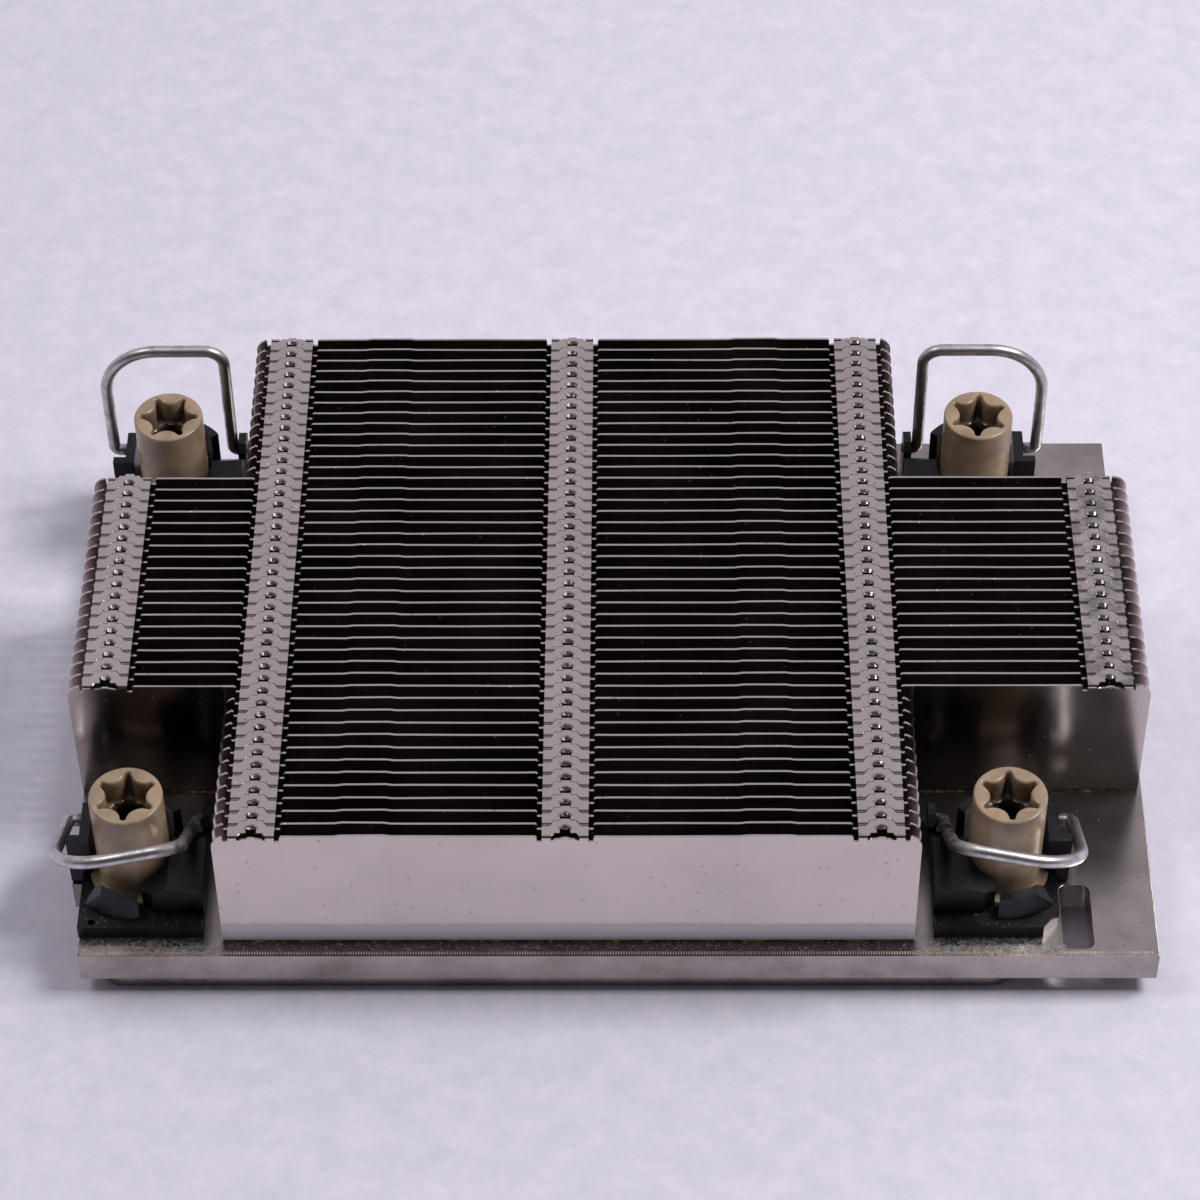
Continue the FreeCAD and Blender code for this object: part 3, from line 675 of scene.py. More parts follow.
def tube(name, path, radius, sides=20):
    """A round wire: at each path point p a circle p + r (n cos a + (t x n) sin a).

    t is the path's direction and n is turned as little as possible from the one before.  The two ends
    are closed by rings that shrink to a point.
    """
    tangent = np.gradient(path, axis=0)
    tangent /= np.linalg.norm(tangent, axis=1, keepdims=True)
    normal = np.cross(tangent[0], [0.0, 0.3, 1.0])
    normals = []
    for t in tangent:
        normal = normal - t * (normal @ t)
        normal /= np.linalg.norm(normal)
        normals.append(normal)
    normals = np.array(normals)
    angle = np.linspace(0, 2 * math.pi, sides, endpoint=False)
    ring = normals[:, None] * np.cos(angle)[None, :, None]
    ring = ring + np.cross(tangent, normals)[:, None] * np.sin(angle)[None, :, None]
    points = path[:, None] + ring * radius
    start = [path[0] + tangent[0] * radius * 0.02 + ring[0] * radius * size for size in (0.0, 0.75)]
    end = [path[-1] - tangent[-1] * radius * 0.02 + ring[-1] * radius * size for size in (0.75, 0.0)]
    points = np.concatenate([np.array(start), points, np.array(end)])
    return mesh_piece(name, points, grid_cells(len(points), sides, close_cols=True))


print("points round a right angle:", len(rounded_path([(0, 0, 0), (5, 0, 0), (5, 5, 0)], [2.0])))


# %% Four bails
NUT_X, NUT_Y = 47.3, 28.7
PLATE_TOP = 6.2
HINGE_Y, HINGE_Z = 6.05, 2.4
BAIL_LENGTH = 16.25
INNER_LEG, OUTER_LEG = -6.3, 7.9
INNER_STUB, OUTER_STUB = -8.2, 4.9
STUB_BEND, INNER_BEND, OUTER_BEND = 0.8, 2.2, 6.4
LEG_TIP = {"front": (49.5, 58.5), "rear": (0.0, 0.0)}


def side_and_end(corner):
    """(+1 right or -1 left, -1 front or +1 rear) of a corner's name."""
    return (1 if "right" in corner else -1), (-1 if "front" in corner else 1)


def drawn_wire():
    """Drawn stainless wire, a satin silver: scuffs of 1.6 mm, grain of 0.3 mm, dirt low on the front legs."""
    material, shader, place = new_material("drawn_stainless_wire")
    scuff = add_node(material, "TexNoise", Vector=place, Scale=1 / (1.6 * MM), Detail=5.0, Roughness=0.6)
    fine = add_node(material, "TexNoise", Vector=place, Scale=1 / (0.3 * MM))
    tint = add_node(material, "ValToRGB", {"steps": [(0.32, "#a9a4a4"), (0.62, "#d6d2d2")]}, Fac=scuff)
    rough = add_node(
        material, "MapRange", Value=scuff, From_Min=0.3, From_Max=0.7, To_Min=0.46, To_Max=0.32,
    )
    bump = add_node(material, "Bump", Height=fine, Strength=0.3, Distance=0.03 * MM)
    split = add_node(material, "SeparateXYZ", Vector=place)
    across = add_node(material, "Math", SIZE, i0=split.outputs["X"])
    leg = NUT_X + INNER_LEG
    inner = add_node(material, "MapRange", Value=across, From_Min=(leg + 2.7) * MM, From_Max=(leg + 0.2) * MM)
    front = add_node(material, "MapRange", Value=split.outputs["Y"], From_Min=0.0, From_Max=-5.0 * MM)
    patch = add_node(
        material, "MapRange", Value=scuff, From_Min=0.35, From_Max=0.55, To_Min=0.55, To_Max=1.0,
    )
    dirt = inner
    for part in (front, patch):
        dirt = add_node(material, "Math", TIMES, i0=dirt, i1=part)
    soiled = add_node(material, "Mix", BLENDED, i0=dirt, i6=tint, i7="#3b3230")
    metal = add_node(material, "MapRange", Value=dirt, To_Min=1.0, To_Max=0.15)
    dull = add_node(material, "Mix", i0=dirt, i2=rough, i3=0.75)
    wire_up(material, shader, Base_Color=soiled, Metallic=metal, Roughness=dull, Normal=bump)
    return material


wire_steel = drawn_wire()


def make_bail(corner):
    """The loop at one nut: its corners in the hinge's plane, each leg tipped forward by its own angle."""
    side, end = side_and_end(corner)
    inner_tip, outer_tip = LEG_TIP["front" if end < 0 else "rear"]

    def at(across, tip=None):
        """A point this far outwards from the nut: on the hinge, or at the end of a leg with this tip."""
        rise, angle = (0, 0) if tip is None else (BAIL_LENGTH, math.radians(tip))
        return (
            side * (NUT_X + across),
            end * NUT_Y + HINGE_Y - rise * math.sin(angle),
            PLATE_TOP + HINGE_Z + rise * math.cos(angle),
        )

    route = [
        at(INNER_STUB), at(INNER_LEG), at(INNER_LEG, inner_tip),
        at(OUTER_LEG, outer_tip), at(OUTER_LEG), at(OUTER_STUB),
    ]
    path = rounded_path(route, [STUB_BEND, INNER_BEND, OUTER_BEND, STUB_BEND])
    piece = tube(f"wire_bail_{corner}", path, WIRE)
    return fit(piece, f"bail_{corner}", "wire", wire_steel, f"bail_{corner}")


bails = [make_bail(corner) for corner in CORNERS]
print("bails:", len(bails), "faces of one:", len(bails[0].data.polygons))


# %% [markdown]
# ## The captive nuts
#
# The nuts are moulded in a hard tan plastic, slightly glossy, with a six-lobe
# socket in the top.  A lathe profile would give a round hole, so the profile is
# carried round the axis with a hole whose outline changes: from the socket's
# six-lobe outline to the round bore below it.

# %% Outline of the socket
FLANGE_FOOT, FLANGE_TOP, NUT_TOP = 6.3, 7.9, 20.2
FLANGE_RADIUS, NUT_RADIUS, BORE_RADIUS = 5.0, 4.0, 1.7
SOCKET_FLOOR = 17.0
INNER_RADIUS, POINT_RADIUS, GROOVE_RADIUS = 2.15, 3.28, 0.34
LIP = 0.38                        # rounding of the socket's mouth
SEAT_RADIUS = 2.05                # the hole for the thread insert
SOCKET_TURN = {"front_left": 0, "front_right": 0, "rear_left": 30, "rear_right": -5}


def lobed_outline():
    """The six-lobe outline as (angle, radius).

    Each lobe bulges inwards: an arc of radius L about (D, 0), with D - L = INNER_RADIUS.  Between two
    lobes a groove of radius g about a point at POINT_RADIUS - g, 30 degrees round, touches both when
    the distance of the centres is L + g, which gives L.
    """
    groove, middle = GROOVE_RADIUS, POINT_RADIUS - GROOVE_RADIUS
    lean = 2 * middle * math.cos(math.radians(30))
    lobe = INNER_RADIUS**2 + middle**2 - lean * INNER_RADIUS - groove**2
    lobe /= 2 * groove - 2 * INNER_RADIUS + lean
    centre = np.array([INNER_RADIUS + lobe, 0.0])
    hollow = middle * np.array([math.cos(math.radians(30)), math.sin(math.radians(30))])
    toward = hollow - centre
    spread = math.atan2(toward[1], -toward[0])
    start = math.atan2(-toward[1], -toward[0])
    bulge = np.linspace(-spread, spread, 20)
    round_groove = np.linspace(start, math.radians(60) - start, 12)[1:-1]
    x = np.concatenate([centre[0] - lobe * np.cos(bulge), hollow[0] + groove * np.cos(round_groove)])
    y = np.concatenate([lobe * np.sin(bulge), hollow[1] + groove * np.sin(round_groove)])
    turns = np.arange(6)[:, None] * math.pi / 3
    return (np.arctan2(y, x) + turns).ravel(), np.tile(np.hypot(x, y), 6)


print("points of the outline:", lobed_outline()[0].size)


# %% Nut surface
def arc_stations(radius, z, size, start, stop, count=4):
    """(radius, height) stations of a rounded edge: centre (radius, z), angles in degrees."""
    angle = np.radians(np.linspace(start, stop, count + 1))
    return list(zip(radius + size * np.cos(angle), z + size * np.sin(angle)))


def nut_surface(turn):
    """Rings of points round the nut's axis: outside, over the rim, down the socket, and down the bore.

    A ring's radius is a + m L(angle), with L the six-lobe outline: m is 1 in the socket and 0 elsewhere.
    """
    angle, lobed = lobed_outline()
    outside = [(SEAT_RADIUS, FLANGE_FOOT), (FLANGE_RADIUS - 0.2, FLANGE_FOOT)]
    outside += arc_stations(FLANGE_RADIUS - 0.2, FLANGE_FOOT + 0.2, 0.2, -90, 0)
    outside += arc_stations(FLANGE_RADIUS - 0.25, FLANGE_TOP - 0.25, 0.25, 0, 90)
    outside += arc_stations(NUT_RADIUS + 0.35, FLANGE_TOP + 0.35, 0.35, 270, 180)
    outside += arc_stations(NUT_RADIUS - 0.28, NUT_TOP - 0.28, 0.28, 0, 90, 5)
    rings = [(radius, 0.0, z) for radius, z in outside]
    lip = np.radians(np.linspace(90, 0, 6))
    rings += [(LIP - LIP * math.cos(a), 1.0, NUT_TOP - LIP + LIP * math.sin(a)) for a in lip]
    rings += [(0.0, 1.0, NUT_TOP - 1.4), (0.0, 1.0, SOCKET_FLOOR + 0.35)]
    rings += [(-0.1, 1.0, SOCKET_FLOOR + 0.1), (-0.35, 1.0, SOCKET_FLOOR)]
    rings += [(SEAT_RADIUS + 0.15, 0.0, SOCKET_FLOOR), (SEAT_RADIUS, 0.0, SOCKET_FLOOR - 0.15)]
    rings += [(SEAT_RADIUS, 0.0, FLANGE_FOOT + 5)]
    add, mix, z = (np.array(v)[:, None] for v in zip(*rings))
    radius = add + mix * lobed[None, :]
    angle = angle[None, :] + math.radians(turn)
    return np.stack([radius * np.cos(angle), radius * np.sin(angle), z + 0 * angle], -1)


print("rings and columns of a nut:", nut_surface(0).shape[:2])


# %% Moulded plastic of the nuts
def moulded_nut():
    """Tan glass-filled nylon, a slightly glossy skin with some light let in below it.

    Its colour clouds over 3 mm and the flow lines of moulding lie 2.2 mm apart round it.  The socket
    is painted darker the deeper it goes: painted shade in the hole.
    """
    material, shader, place = new_material(
        "tan_moulded_nylon", Specular_IOR_Level=0.5, Subsurface_Weight=0.12,
        Subsurface_Radius=(0.6, 0.35, 0.2), Subsurface_Scale=1.2 * MM,
    )
    cloud = add_node(material, "TexNoise", Vector=place, Scale=1 / (3 * MM), Detail=3.0)
    split = add_node(material, "SeparateXYZ", Vector=place)
    quarter = add_node(material, "VectorMath", SIZE, i0=place)
    axis = (NUT_X * MM, NUT_Y * MM, 0)
    local = add_node(material, "VectorMath", {"operation": "SUBTRACT"}, i0=quarter, i1=axis)
    flat = add_node(material, "VectorMath", TIMES, i0=local, i1=(1, 1, 0))
    reach = add_node(material, "VectorMath", {"operation": "LENGTH"}, i0=flat)
    inward = add_node(material, "MapRange", Value=reach, From_Min=3.55 * MM, From_Max=3.2 * MM)
    squash = add_node(material, "VectorMath", TIMES, i0=place, i1=(1.0, 1.0, 5.0))
    flow = add_node(material, "TexNoise", Vector=squash, Scale=1 / (2.2 * MM), Detail=3.0)
    tint = add_node(
        material, "ValToRGB",
        {"steps": [(0.3, "#8f7a66"), (0.6, "#ad967d"), (0.78, "#a88461")]}, Fac=cloud,
    )
    low = add_node(
        material, "MapRange", Value=split.outputs["Z"],
        From_Min=(SOCKET_FLOOR - 0.4) * MM, From_Max=(NUT_TOP - 0.4) * MM, To_Min=0.22, To_Max=1.0,
    )
    # painted shade: inside the socket the colour darkens with depth
    socket_shaded = add_node(material, "Mix", TINTED, i0=inward, i6=tint, i7=low)
    rough = add_node(
        material, "MapRange", Value=flow, From_Min=0.3, From_Max=0.7, To_Min=0.14, To_Max=0.3,
    )
    bump = add_node(material, "Bump", Height=flow, Strength=0.2, Distance=0.04 * MM)
    wire_up(material, shader, Base_Color=socket_shaded, Roughness=rough, Normal=bump)
    return material


nut_nylon = moulded_nut()
# steel blackened and oiled: dull, with streaks of oil 1 mm apart; its black is also painted shade, standing
# in for the dark of the hole
insert_steel_and_shade = clouded(
    "black_steel_and_hole_shade", 1.0 * MM, (0.35, "#100e0d"), (0.7, "#38322f"), detail=3.0,
    Metallic=1.0, Roughness=0.35,
)
print("materials:", nut_nylon.name, insert_steel_and_shade.name)


# %% Four nuts and their thread inserts
def make_nut(corner):
    """One captive nut at its corner, with its socket turned as it was left."""
    side, end = side_and_end(corner)
    points = nut_surface(SOCKET_TURN[corner]) + np.array([side * NUT_X, end * NUT_Y, 0])
    cells = grid_cells(*points.shape[:2], close_rows=True, close_cols=True)[..., ::-1]
    piece = mesh_piece(f"captive_nut_{corner}", points, cells)
    piece.data.set_sharp_from_angle(angle=math.radians(50))
    return fit(piece, f"nut_{corner}", "nut", nut_nylon, f"nut_{corner}")


def thread_insert(corner):
    """The steel thread in the nut, a helix of 0.7 mm pitch.

    At angle t and height z the wall lies at BORE_RADIUS + 0.25 |2 f - 1|, where f is the fraction part
    of z / 0.7 - t / turn, and a flat ring closes each end.
    """
    side, end = side_and_end(corner)
    angle = np.linspace(0, 2 * math.pi, 28, endpoint=False)[None, :]
    height = np.arange(FLANGE_FOOT + 0.3, SOCKET_FLOOR - 0.7, 0.175)[:, None]
    wave = np.abs(2 * np.mod(height / 0.7 - angle / (2 * math.pi), 1) - 1)
    radius = BORE_RADIUS + 0.25 * wave
    rim = np.full((1, angle.size), SEAT_RADIUS)
    radius = np.concatenate([rim, radius, rim])
    height = np.concatenate([height[:1], height, height[-1:] + 0.05]) + 0 * angle
    x, y = radius * np.cos(angle) + side * NUT_X, radius * np.sin(angle) + end * NUT_Y
    points = np.stack([x, y, height], -1)
    piece = mesh_piece(f"thread_insert_{corner}", points, grid_cells(*points.shape[:2], close_cols=True))
    skin = piece.modifiers.new("wall", "SOLIDIFY")
    skin.thickness = 0.04 * MM
    return fit(piece, f"nut_{corner}", "wire", insert_steel_and_shade)


nuts = [make_nut(corner) for corner in CORNERS]
inserts = [thread_insert(corner) for corner in CORNERS]
print("nuts:", len(nuts), "faces of one:", len(nuts[0].data.polygons), "inserts:", len(inserts))


# %% [markdown]
# ## Softened copies of the CAD parts
#
# The retainers and the plate have the right shape already, but every edge of a
# CAD model is perfectly sharp, and a sharp edge never catches the light.  A copy
# of each mesh is welded, because CAD meshes are loose triangles, its flat areas
# are joined into whole faces, and a bevel modifier rounds the edges.

# %% Softened copy
def softened(node, name, width, material, slot, angle=32):
    """A welded copy of a CAD node with its edges rounded to this width in millimetres."""
    mesh = nodes[node].data.copy()
    mesh.name = name
    build = bmesh.new()
    build.from_mesh(mesh)
    bmesh.ops.remove_doubles(build, verts=build.verts, dist=2e-6)
    bmesh.ops.dissolve_degenerate(build, edges=build.edges, dist=2e-6)
    bmesh.ops.dissolve_limit(build, angle_limit=math.radians(0.6), verts=build.verts, edges=build.edges)
    bmesh.ops.recalc_face_normals(build, faces=build.faces)
    build.to_mesh(mesh)
    build.free()
    mesh.polygons.foreach_set("use_smooth", np.ones(len(mesh.polygons), bool))
    mesh.set_sharp_from_angle(angle=math.radians(angle))
    piece = bpy.data.objects.new(name, mesh)
    bpy.context.scene.collection.objects.link(piece)
    edge = piece.modifiers.new("edges", "BEVEL")
    edge.width = width * MM
    edge.segments = 2
    edge.limit_method = "ANGLE"
    edge.angle_limit = math.radians(angle)
    edge.harden_normals = True
    edge.use_clamp_overlap = True
    flat = piece.modifiers.new("flats", "WEIGHTED_NORMAL")
    flat.weight = 100
    flat.keep_sharp = True
    return fit(piece, FRAME_BODY, slot, material, node)


print("faces of the plate in the CAD model:", len(nodes["base_plate"].data.polygons))


# %% Black moulded plastic of the retainers
def black_moulding():
    """Blue-black glass-filled nylon with the 0.3 mm grain of an eroded mould and dust on its upward faces."""
    material, shader, place = new_material("black_moulded_nylon", Specular_IOR_Level=0.38)
    cloud = add_node(material, "TexNoise", Vector=place, Scale=1 / (4 * MM), Detail=4.0)
    texture = add_node(material, "TexNoise", Vector=place, Scale=1 / (0.3 * MM))
    mote = add_node(material, "TexVoronoi", Vector=place, Scale=1 / (0.6 * MM))
    face = add_node(material, "NewGeometry")
    facing = add_node(material, "SeparateXYZ", Vector=face.outputs["Normal"])
    split = add_node(material, "SeparateXYZ", Vector=place)
    tint = add_node(material, "ValToRGB", {"steps": [(0.3, "#0b0c10"), (0.75, "#14151b")]}, Fac=cloud)
    upward = add_node(material, "MapRange", Value=facing.outputs["Z"], From_Min=0.3, From_Max=0.9)
    low = add_node(
        material, "MapRange", Value=split.outputs["Z"],
        From_Min=9.0 * MM, From_Max=7.5 * MM, To_Min=0.25, To_Max=1.0,
    )
    drift = add_node(material, "MapRange", Value=cloud, From_Min=0.42, From_Max=0.7)
    spot = add_node(material, "MapRange", Value=mote, From_Min=0.3, From_Max=0.08)
    share = upward
    for part in (drift, spot, low):
        share = add_node(material, "Math", TIMES, i0=share, i1=part)
    dusty = add_node(material, "Mix", BLENDED, i0=share, i6=tint, i7="#8d8c90")
    rough = add_node(
        material, "MapRange", Value=cloud, From_Min=0.3, From_Max=0.7, To_Min=0.3, To_Max=0.48,
    )
    bump = add_node(material, "Bump", Height=texture, Strength=0.35, Distance=0.04 * MM)
    wire_up(material, shader, Base_Color=dusty, Roughness=rough, Normal=bump)
    return material


retainer_nylon = black_moulding()
retainers = [
    softened(f"retainer_{corner}", f"moulded_retainer_{corner}", 0.14, retainer_nylon, "retainer")
    for corner in CORNERS
]
print("retainers:", len(retainers), "faces of one:", len(retainers[0].data.polygons))


# %% [markdown]
# ## The plated base
#
# The base is a milled plate, nickel plated.  The cutter leaves fine lines that
# cross, the plating turns them satin, and handling adds smudges and dust.  The
# dust lies where a cloth doesn't reach: in front of the retainers and the fins.

# %% Milled nickel of the base
def milled_nickel():
    """Nickel plating over milled metal, a satin grey mirror.

    Two sets of cutter lines 0.32 mm apart cross on its top, smudges are 9 mm, specks lie 1.1 mm apart,
    painted shade darkens its top in front of the front fin, a dark reflection painted into its colour,
    and dust lies in front of the retainers.
    """
    material, shader, place = new_material("nickel_plated_milled_base")
    smudge = add_node(material, "TexNoise", Vector=place, Scale=1 / (9 * MM), Detail=6.0, Roughness=0.6)
    stain = add_node(material, "TexVoronoi", Vector=place, Scale=1 / (1.1 * MM))
    hatch = []
    for degrees in (32, -41):
        turned = add_node(material, "Mapping", Vector=place, Rotation=(0, 0, math.radians(degrees)))
        wave = {"wave_type": "BANDS", "bands_direction": "X"}
        lines = add_node(
            material, "TexWave", wave, Vector=turned, Scale=0.314 / (0.32 * MM),
            Distortion=1.2, Detail=2.0, Detail_Scale=0.6,
        )
        hatch.append(lines.outputs["Fac"])
    weave = add_node(material, "Math", TIMES, i0=hatch[0], i1=hatch[1])
    face = add_node(material, "NewGeometry")
    tilt = add_node(material, "SeparateXYZ", Vector=face.outputs["Normal"])
    top = add_node(material, "Math", ABOVE, i0=tilt.outputs["Z"], i1=0.7)
    weave = add_node(material, "Math", TIMES, i0=weave, i1=top)
    tint = add_node(
        material, "ValToRGB",
        {"steps": [(0.3, "#9d9391"), (0.5, "#bfb5b2"), (0.72, "#d2c9c5")]}, Fac=smudge,
    )
    woven = add_node(material, "MapRange", Value=weave, To_Min=0.8, To_Max=1.05)
    spot = add_node(material, "ValToRGB", {"steps": [(0.06, grey(0.3)), (0.13, grey(1))]}, Fac=stain)
    split = add_node(material, "SeparateXYZ", Vector=place)
    across = add_node(material, "Math", SIZE, i0=split.outputs["X"])
    ahead = add_node(
        material, "MapRange", Value=split.outputs["Y"],
        From_Min=(STACK_FRONT + 0.2) * MM, From_Max=STACK_FRONT * MM, To_Min=0.0, To_Max=0.7,
    )
    under = add_node(
        material, "MapRange", Value=across,
        From_Min=(NARROW[1] + 0.5) * MM, From_Max=(NARROW[1] - 0.1) * MM,
    )
    # painted shade: the top in front of the front fin is darkened towards #3a3033, a dark reflection painted
    # on
    front_strip_shade = add_node(material, "Math", TIMES, i0=ahead, i1=under)
    front_strip_shade = add_node(material, "Math", TIMES, i0=front_strip_shade, i1=top)
    front_strip_shaded = add_node(material, "Mix", BLENDED, i0=front_strip_shade, i6=tint, i7="#3a3033")
    lined = add_node(material, "Mix", TINTED, i0=1.0, i6=front_strip_shaded, i7=woven)
    worn = add_node(material, "Mix", TINTED, i0=0.6, i6=lined, i7=spot)
    rough = add_node(
        material, "MapRange", Value=smudge, From_Min=0.3, From_Max=0.7, To_Min=0.3, To_Max=0.19,
    )
    bump = add_node(material, "Bump", Height=weave, Strength=0.2, Distance=0.005 * MM)
    motes = add_motes(material, place, 1.1 * MM, 0.08 * MM, 0.3)
    beside = add_node(material, "MapRange", Value=across, From_Min=36.5 * MM, From_Max=38.5 * MM)
    before = add_node(
        material, "MapRange", Value=split.outputs["Y"],
        From_Min=-36.5 * MM, From_Max=-38.5 * MM,
    )
    short = add_node(material, "MapRange", Value=across, From_Min=55.0 * MM, From_Max=50.0 * MM)
    fluff = add_node(material, "TexNoise", Vector=place, Scale=1 / (0.4 * MM), Detail=4.0, Roughness=0.8)
    drift = add_node(
        material, "MapRange", Value=fluff, From_Min=0.46, From_Max=0.68, To_Min=0.0, To_Max=0.5,
    )
    film = drift
    for part in (beside, before, short, top):
        film = add_node(material, "Math", TIMES, i0=film, i1=part)
    mask = add_node(material, "Math", MOST, i0=motes, i1=film)
    lay_dust_and_painted_light(material, shader, mask, worn, rough)
    wire_up(material, shader, Normal=bump)
    return material


base_nickel = milled_nickel()
base = softened("base_plate", "milled_base", 0.18, base_nickel, "base")
print("softened base faces:", len(base.data.polygons))


# %% [markdown]
# ## Milled edge, solder, dust and lint
#
# The cutter that faced the base left a row of fine teeth along its top front
# edge.  The fins are soldered down, so a dark seam of flux with small gold brown
# beads runs along the foot of every outer fin.  Dust and lint gather where the
# part is hard to wipe: in front of the retainers and along the front seam.
#
# Teeth and seam are profiles carried along X.  Beads, motes and fibres are one
# small grid each, repeated as a whole array with random places and sizes.

# %% Teeth along the front edge
PLATE_LEFT, PLATE_RIGHT, PLATE_FRONT = -54.4, 63.6, -39.6


def edge_teeth(left, right, spacing=0.28, depth=0.1):
    """A land 0.55 mm wide with a groove across it every 0.28 mm.

    Columns come in fours, two at the land's height and two at the groove's, and rows run over the
    land and down a 45 degree chamfer.
    """
    first = left + np.arange(int((right - left) / spacing))[:, None] * spacing
    x = (first + spacing * np.array([0, 0.06, 0.52, 0.58])).ravel()
    groove = np.tile([depth, 0.0, 0.0, depth], len(x) // 4)
    land = [[0.8, -0.1], [0.62, -0.02], [0.58, 0.035], [0.2, 0.035]]
    rows = np.array(land + [[0.0, -0.16], [0.1, -0.3], [0.8, -0.3]])
    grooved = np.array([0, 0, 1, 1, 0, 0, 0])
    y = PLATE_FRONT + 0.015 + rows[:, 0:1] + 0 * x
    z = PLATE_TOP + rows[:, 1:2] - grooved[:, None] * groove
    points = np.stack([np.broadcast_to(x, y.shape), y, z], -1)
    cells = grid_cells(*points.shape[:2], close_rows=True)
    piece = mesh_piece("milled_edge_teeth", points, cells, smooth=False)
    return fit(piece, FRAME_BODY, "base", thin_plating)


# the cut edge, where the plating is thin: dull beige metal, clouded over 2 mm, lighter than the plate
thin_plating = clouded(
    "thin_plated_edge", 2.0 * MM, (0.35, "#a39184"), (0.65, "#d0bfb0"), detail=4.0,
    Metallic=0.2, Roughness=0.5,
)
teeth = edge_teeth(PLATE_LEFT + 1.8, PLATE_RIGHT - 0.3)
print("teeth faces:", len(teeth.data.polygons))


# %% Seam of flux at the foot of the outer fins
def baked_flux():
    """Baked flux and solder: brown black, with gold brown patches 1.5 mm apart, dull in parts."""
    material, shader, place = new_material("baked_flux")
    patch = add_node(material, "TexNoise", Vector=place, Scale=1 / (1.5 * MM), Detail=5.0, Roughness=0.7)
    tint = add_node(
        material, "ValToRGB",
        {"steps": [(0.4, "#1c1715"), (0.54, "#5c472f"), (0.66, "#b8975a")]}, Fac=patch,
    )
    rough = add_node(
        material, "MapRange", Value=patch, From_Min=0.4, From_Max=0.65, To_Min=0.75, To_Max=0.3,
    )
    wire_up(material, shader, Base_Color=tint, Roughness=rough)
    return material


def seam(name, fin, left, right, size):
    """A fillet in front of a fin's foot: size s(x) times a hollow curve from the plate up to the fin.

    s(x) is a smoothed random walk between 0.5 and 1.2, and the ends shrink to a point.
    """
    front = STACK_FRONT + PITCH * (FIN_COUNT - fin)
    x = np.linspace(left, right, int((right - left) / 0.3))
    noise = np.convolve(rng.random(len(x) + 4), np.ones(5) / 5, "valid")
    grow = size * np.interp(noise, [0.3, 0.7], [0.5, 1.2])
    grow[[0, -1]] = 0
    section = np.array([[0.3, -0.02], [-0.75, -0.02], [-0.35, 0.14], [-0.12, 0.36], [0.0, 0.7], [0.3, 0.7]])
    y = front + 0.01 + section[:, 0:1] * grow
    z = PLATE_TOP + section[:, 1:2] * grow
    points = np.stack([np.broadcast_to(x, y.shape), y, z], -1)
    piece = mesh_piece(name, points, grid_cells(*points.shape[:2], close_rows=True))
    return fit(piece, FRAME_BODY, "base", flux)


flux = baked_flux()
seams = [
    seam("flux_seam_front", FIN_COUNT, NARROW[0] + 0.1, NARROW[1] - 0.1, 0.24),
    seam("flux_seam_left_wing", LAST_WIDE, WIDE[0] + 0.1, NARROW[0] - 0.2, 0.26),
    seam("flux_seam_right_wing", LAST_WIDE, NARROW[1] + 0.2, WIDE[1] - 0.1, 0.26),
]
print("seams:", len(seams), "faces:", sum(len(piece.data.polygons) for piece in seams))


# %% Small shapes, many at a time
def scattered(name, centres, shape, cells, material):
    """One mesh of many small closed shapes: shape holds the points of each about its centre."""
    points = centres.reshape(-1, 1, 1, 3) + shape
    count, rows, cols = points.shape[:3]
    numbers = cells[None] + np.arange(count)[:, None, None, None] * rows * cols
    return fit(mesh_piece(name, points, numbers), FRAME_BODY, "base", material)


def pebble(radii, rows=5, cols=8):
    """Ellipsoids (a sin v cos u, b sin v sin u, c cos v) with these half sizes a, b and c."""
    v = np.linspace(0, math.pi, rows)[:, None]
    u = np.linspace(0, 2 * math.pi, cols, endpoint=False)[None, :]
    ball = np.stack([np.sin(v) * np.cos(u), np.sin(v) * np.sin(u), np.cos(v) + 0 * u], -1)
    return radii.reshape(-1, 1, 1, 3) * ball[None], grid_cells(rows, cols, close_cols=True)


def fibre(count, length, radius, lift):
    """Curved fibres: p(s) = s L d + (s^2 - 0.25) L c + lift h (1 - 4 s^2), with s from -1/2 to 1/2.

    d is a random heading, c lies across it and h points up.  The section is round, of three sides,
    and shrinks to a point at both ends.
    """
    s = np.linspace(-0.5, 0.5, 7)[None, :, None, None]
    heading = rng.random(count) * 2 * math.pi
    ahead = np.stack([np.cos(heading), np.sin(heading), 0 * heading], -1)[:, None, None, :]
    aside = np.stack([-np.sin(heading), np.cos(heading), 0 * heading], -1)[:, None, None, :]
    span = (length * (0.5 + rng.random(count)))[:, None, None, None]
    curl = (rng.random(count) * 2.4 - 1.2)[:, None, None, None]
    rise = (lift * rng.random(count))[:, None, None, None]
    upward = np.array([0.0, 0.0, 1.0])
    path = s * span * ahead + (s**2 - 0.25) * span * curl * aside + rise * (1 - 4 * s**2) * upward
    angle = np.radians([90, 210, 330])[None, None, :, None]
    thick = radius * np.array([0, 1, 1, 1, 1, 1, 0])[None, :, None, None]
    ring = thick * (np.cos(angle) * aside + np.sin(angle) * upward)
    return path + ring, grid_cells(7, 3, close_cols=True)


print("cells of one fibre:", grid_cells(7, 3, close_cols=True)[..., 0].size)


# %% Lint and solder
# pale lint and house dust: matt, warm grey, its tone changing from fibre to fibre over 0.7 mm
lint = clouded("cotton_lint", 0.7 * MM, (0.35, "#b5b0ac"), (0.65, "#f0ece8"), Roughness=0.95)
# solder stained by flux: glints of gold brown metal, clouded over 0.5 mm
solder = clouded(
    "stained_solder", 0.5 * MM, (0.35, "#6b5137"), (0.65, "#c9a871"), Metallic=1.0, Roughness=0.35,
)
print("materials:", lint.name, solder.name)


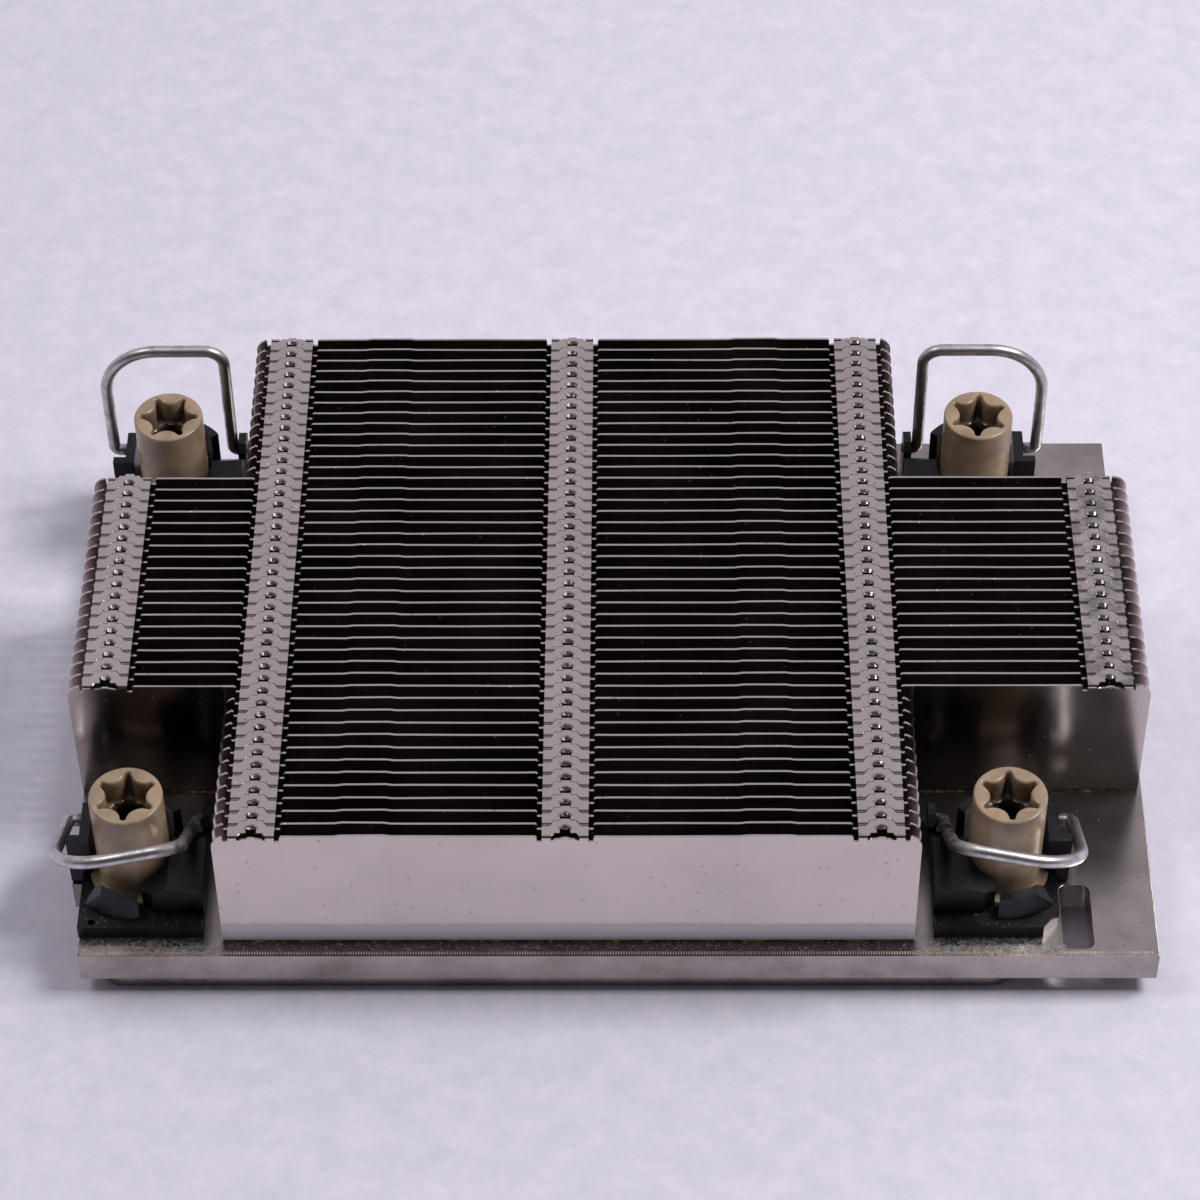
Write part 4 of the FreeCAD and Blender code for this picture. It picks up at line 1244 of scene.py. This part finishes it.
# %% Dust, lint and beads in their places
def places(count, x_range, y_range, gather=1.0):
    """Random places on the base's top; gather above 1 crowds them towards the first y."""
    x = x_range[0] + rng.random(count) * (x_range[1] - x_range[0])
    y = y_range[0] + rng.random(count) ** gather * (y_range[1] - y_range[0])
    return np.stack([x, y, np.full(count, PLATE_TOP)], -1)


# for each patch: fibres, motes, and the ranges of x and y
DUST_PATCHES = {
    "front_right": (420, 1300, (37.6, 53.5), (-38.3, -39.2)),
    "front_left": (200, 900, (-53.5, -37.6), (-38.3, -39.2)),
    "front_seam": (110, 900, (-36.8, 37.2), (-38.0, -38.9)),
}
litter = []
for name, (fibres, motes, x_range, y_range) in DUST_PATCHES.items():
    shape, cells = fibre(fibres, 0.6, 0.016, 0.22)
    centres = places(fibres, x_range, y_range) + (0, 0, 0.03)
    litter.append(scattered(f"lint_{name}", centres, shape, cells, lint))
    grain = 0.015 + 0.05 * rng.random((motes, 3)) ** 2
    shape, cells = pebble(grain, 4, 5)
    centres = places(motes, x_range, y_range) + (0, 0, 0.01)
    litter.append(scattered(f"dust_{name}", centres, shape, cells, lint))

BEADS = 160
grain = np.array([0.09, 0.07, 0.04]) * (0.4 + 0.9 * rng.random((BEADS, 1)))
shape, cells = pebble(grain)
beads = scattered("solder_beads", places(BEADS, (-36.8, 36.8), (-37.7, -37.95), 1.5), shape, cells, solder)
print("litter:", len(litter), "faces:", sum(len(piece.data.polygons) for piece in litter + [beads]))


# %% [markdown]
# ## Floor, light and camera
#
# The part stands on pale paper in a room that is bright behind it and dim in
# front.  Two soft lamps stand high at its sides, the right one the stronger.  Soft
# light matters for plated metal, because what such metal shows is mostly the
# reflection of its surroundings.

# %% Stage
def paper():
    """Pale lilac paper, matt: clouds of 4 mm with fine fibres in them, in colour and relief."""
    material, shader, place = new_material("pale_paper", Roughness=0.9)
    cloud = add_node(material, "TexNoise", Vector=place, Scale=1 / (4 * MM), Detail=7.0, Roughness=0.75)
    tint = add_node(
        material, "ValToRGB",
        {"steps": [(0.32, "#d8d4e3"), (0.5, "#e0dbea"), (0.68, "#e9e3f0")]}, Fac=cloud,
    )
    bump = add_node(material, "Bump", Height=cloud, Strength=0.15, Distance=0.2 * MM)
    wire_up(material, shader, Base_Color=tint, Normal=bump)
    return material


bpy.ops.mesh.primitive_plane_add(size=4.0, location=(0, 0, -0.00005))
floor = bpy.context.object
floor.name = "paper_floor"
floor.data.materials.append(paper())
print("floor:", floor.name, "material:", floor.data.materials[0].name)


# %% Room
ROOM_FRONT, ROOM_BACK = 0.03, 0.58
world = bpy.data.worlds.new("studio")
bpy.context.scene.world = world
world.use_nodes = True


def studio_room():
    """The room's glow by direction: bright at the back, dim at the front, where the room is unlit."""
    place = add_node(world, "TexCoord").outputs["Generated"]
    split = add_node(world, "SeparateXYZ", Vector=place)
    glow = add_node(
        world, "MapRange", SMOOTH, Value=split.outputs["Y"],
        From_Min=-0.7, From_Max=0.6, To_Min=ROOM_FRONT, To_Max=ROOM_BACK,
    )
    wire_up(world, world.node_tree.nodes["Background"], Color="#f1edf6", Strength=glow)


studio_room()
print("room glow: from", ROOM_FRONT, "at the front to", ROOM_BACK, "at the back")


# %% Lamps
def soft_lamp(name, place, aim, size, power):
    """A square area lamp at a place, in millimetres, turned to face the aim."""
    lamp = bpy.data.lights.new(name, "AREA")
    lamp.size = size * MM
    lamp.energy = power
    item = bpy.data.objects.new(name, lamp)
    item.location = Vector(place) * MM
    item.rotation_euler = (Vector(aim) - Vector(place)).to_track_quat("-Z", "Y").to_euler()
    bpy.context.scene.collection.objects.link(item)
    return item


lamps = [
    soft_lamp("lamp_left", (-330, 30, 660), (0, 0, 0), 240, 0.85),
    soft_lamp("lamp_right", (420, 40, 600), (0, 0, 0), 240, 3.55),
]
print("lamps:", [(lamp.name, round(lamp.data.energy, 2)) for lamp in lamps])


# %% Camera
PITCH_DOWN, YAW, ROLL = (math.radians(v) for v in (47.519, -0.840, -0.700))
CAMERA_PLACE = (7.64, -295.05, 341.90)
level_out = math.cos(PITCH_DOWN)
ahead = Vector((math.sin(YAW) * level_out, math.cos(YAW) * level_out, -math.sin(PITCH_DOWN)))
level = Vector((math.cos(YAW), -math.sin(YAW), 0))
upright = level.cross(ahead)
right = math.cos(ROLL) * level + math.sin(ROLL) * upright
above = -math.sin(ROLL) * level + math.cos(ROLL) * upright

camera_data = bpy.data.cameras.new("camera")
camera_data.lens = 117.18
camera_data.sensor_width = 36.0
camera_data.clip_start = 0.01
camera = bpy.data.objects.new("camera", camera_data)
turn = Matrix((right, above, -ahead)).transposed().to_4x4()
camera.matrix_world = Matrix.Translation(Vector(CAMERA_PLACE) * MM) @ turn
bpy.context.scene.collection.objects.link(camera)
bpy.context.scene.camera = camera
bpy.context.scene.view_settings.view_transform = "Standard"
print("camera: lens", round(camera_data.lens, 2), "mm at", CAMERA_PLACE)
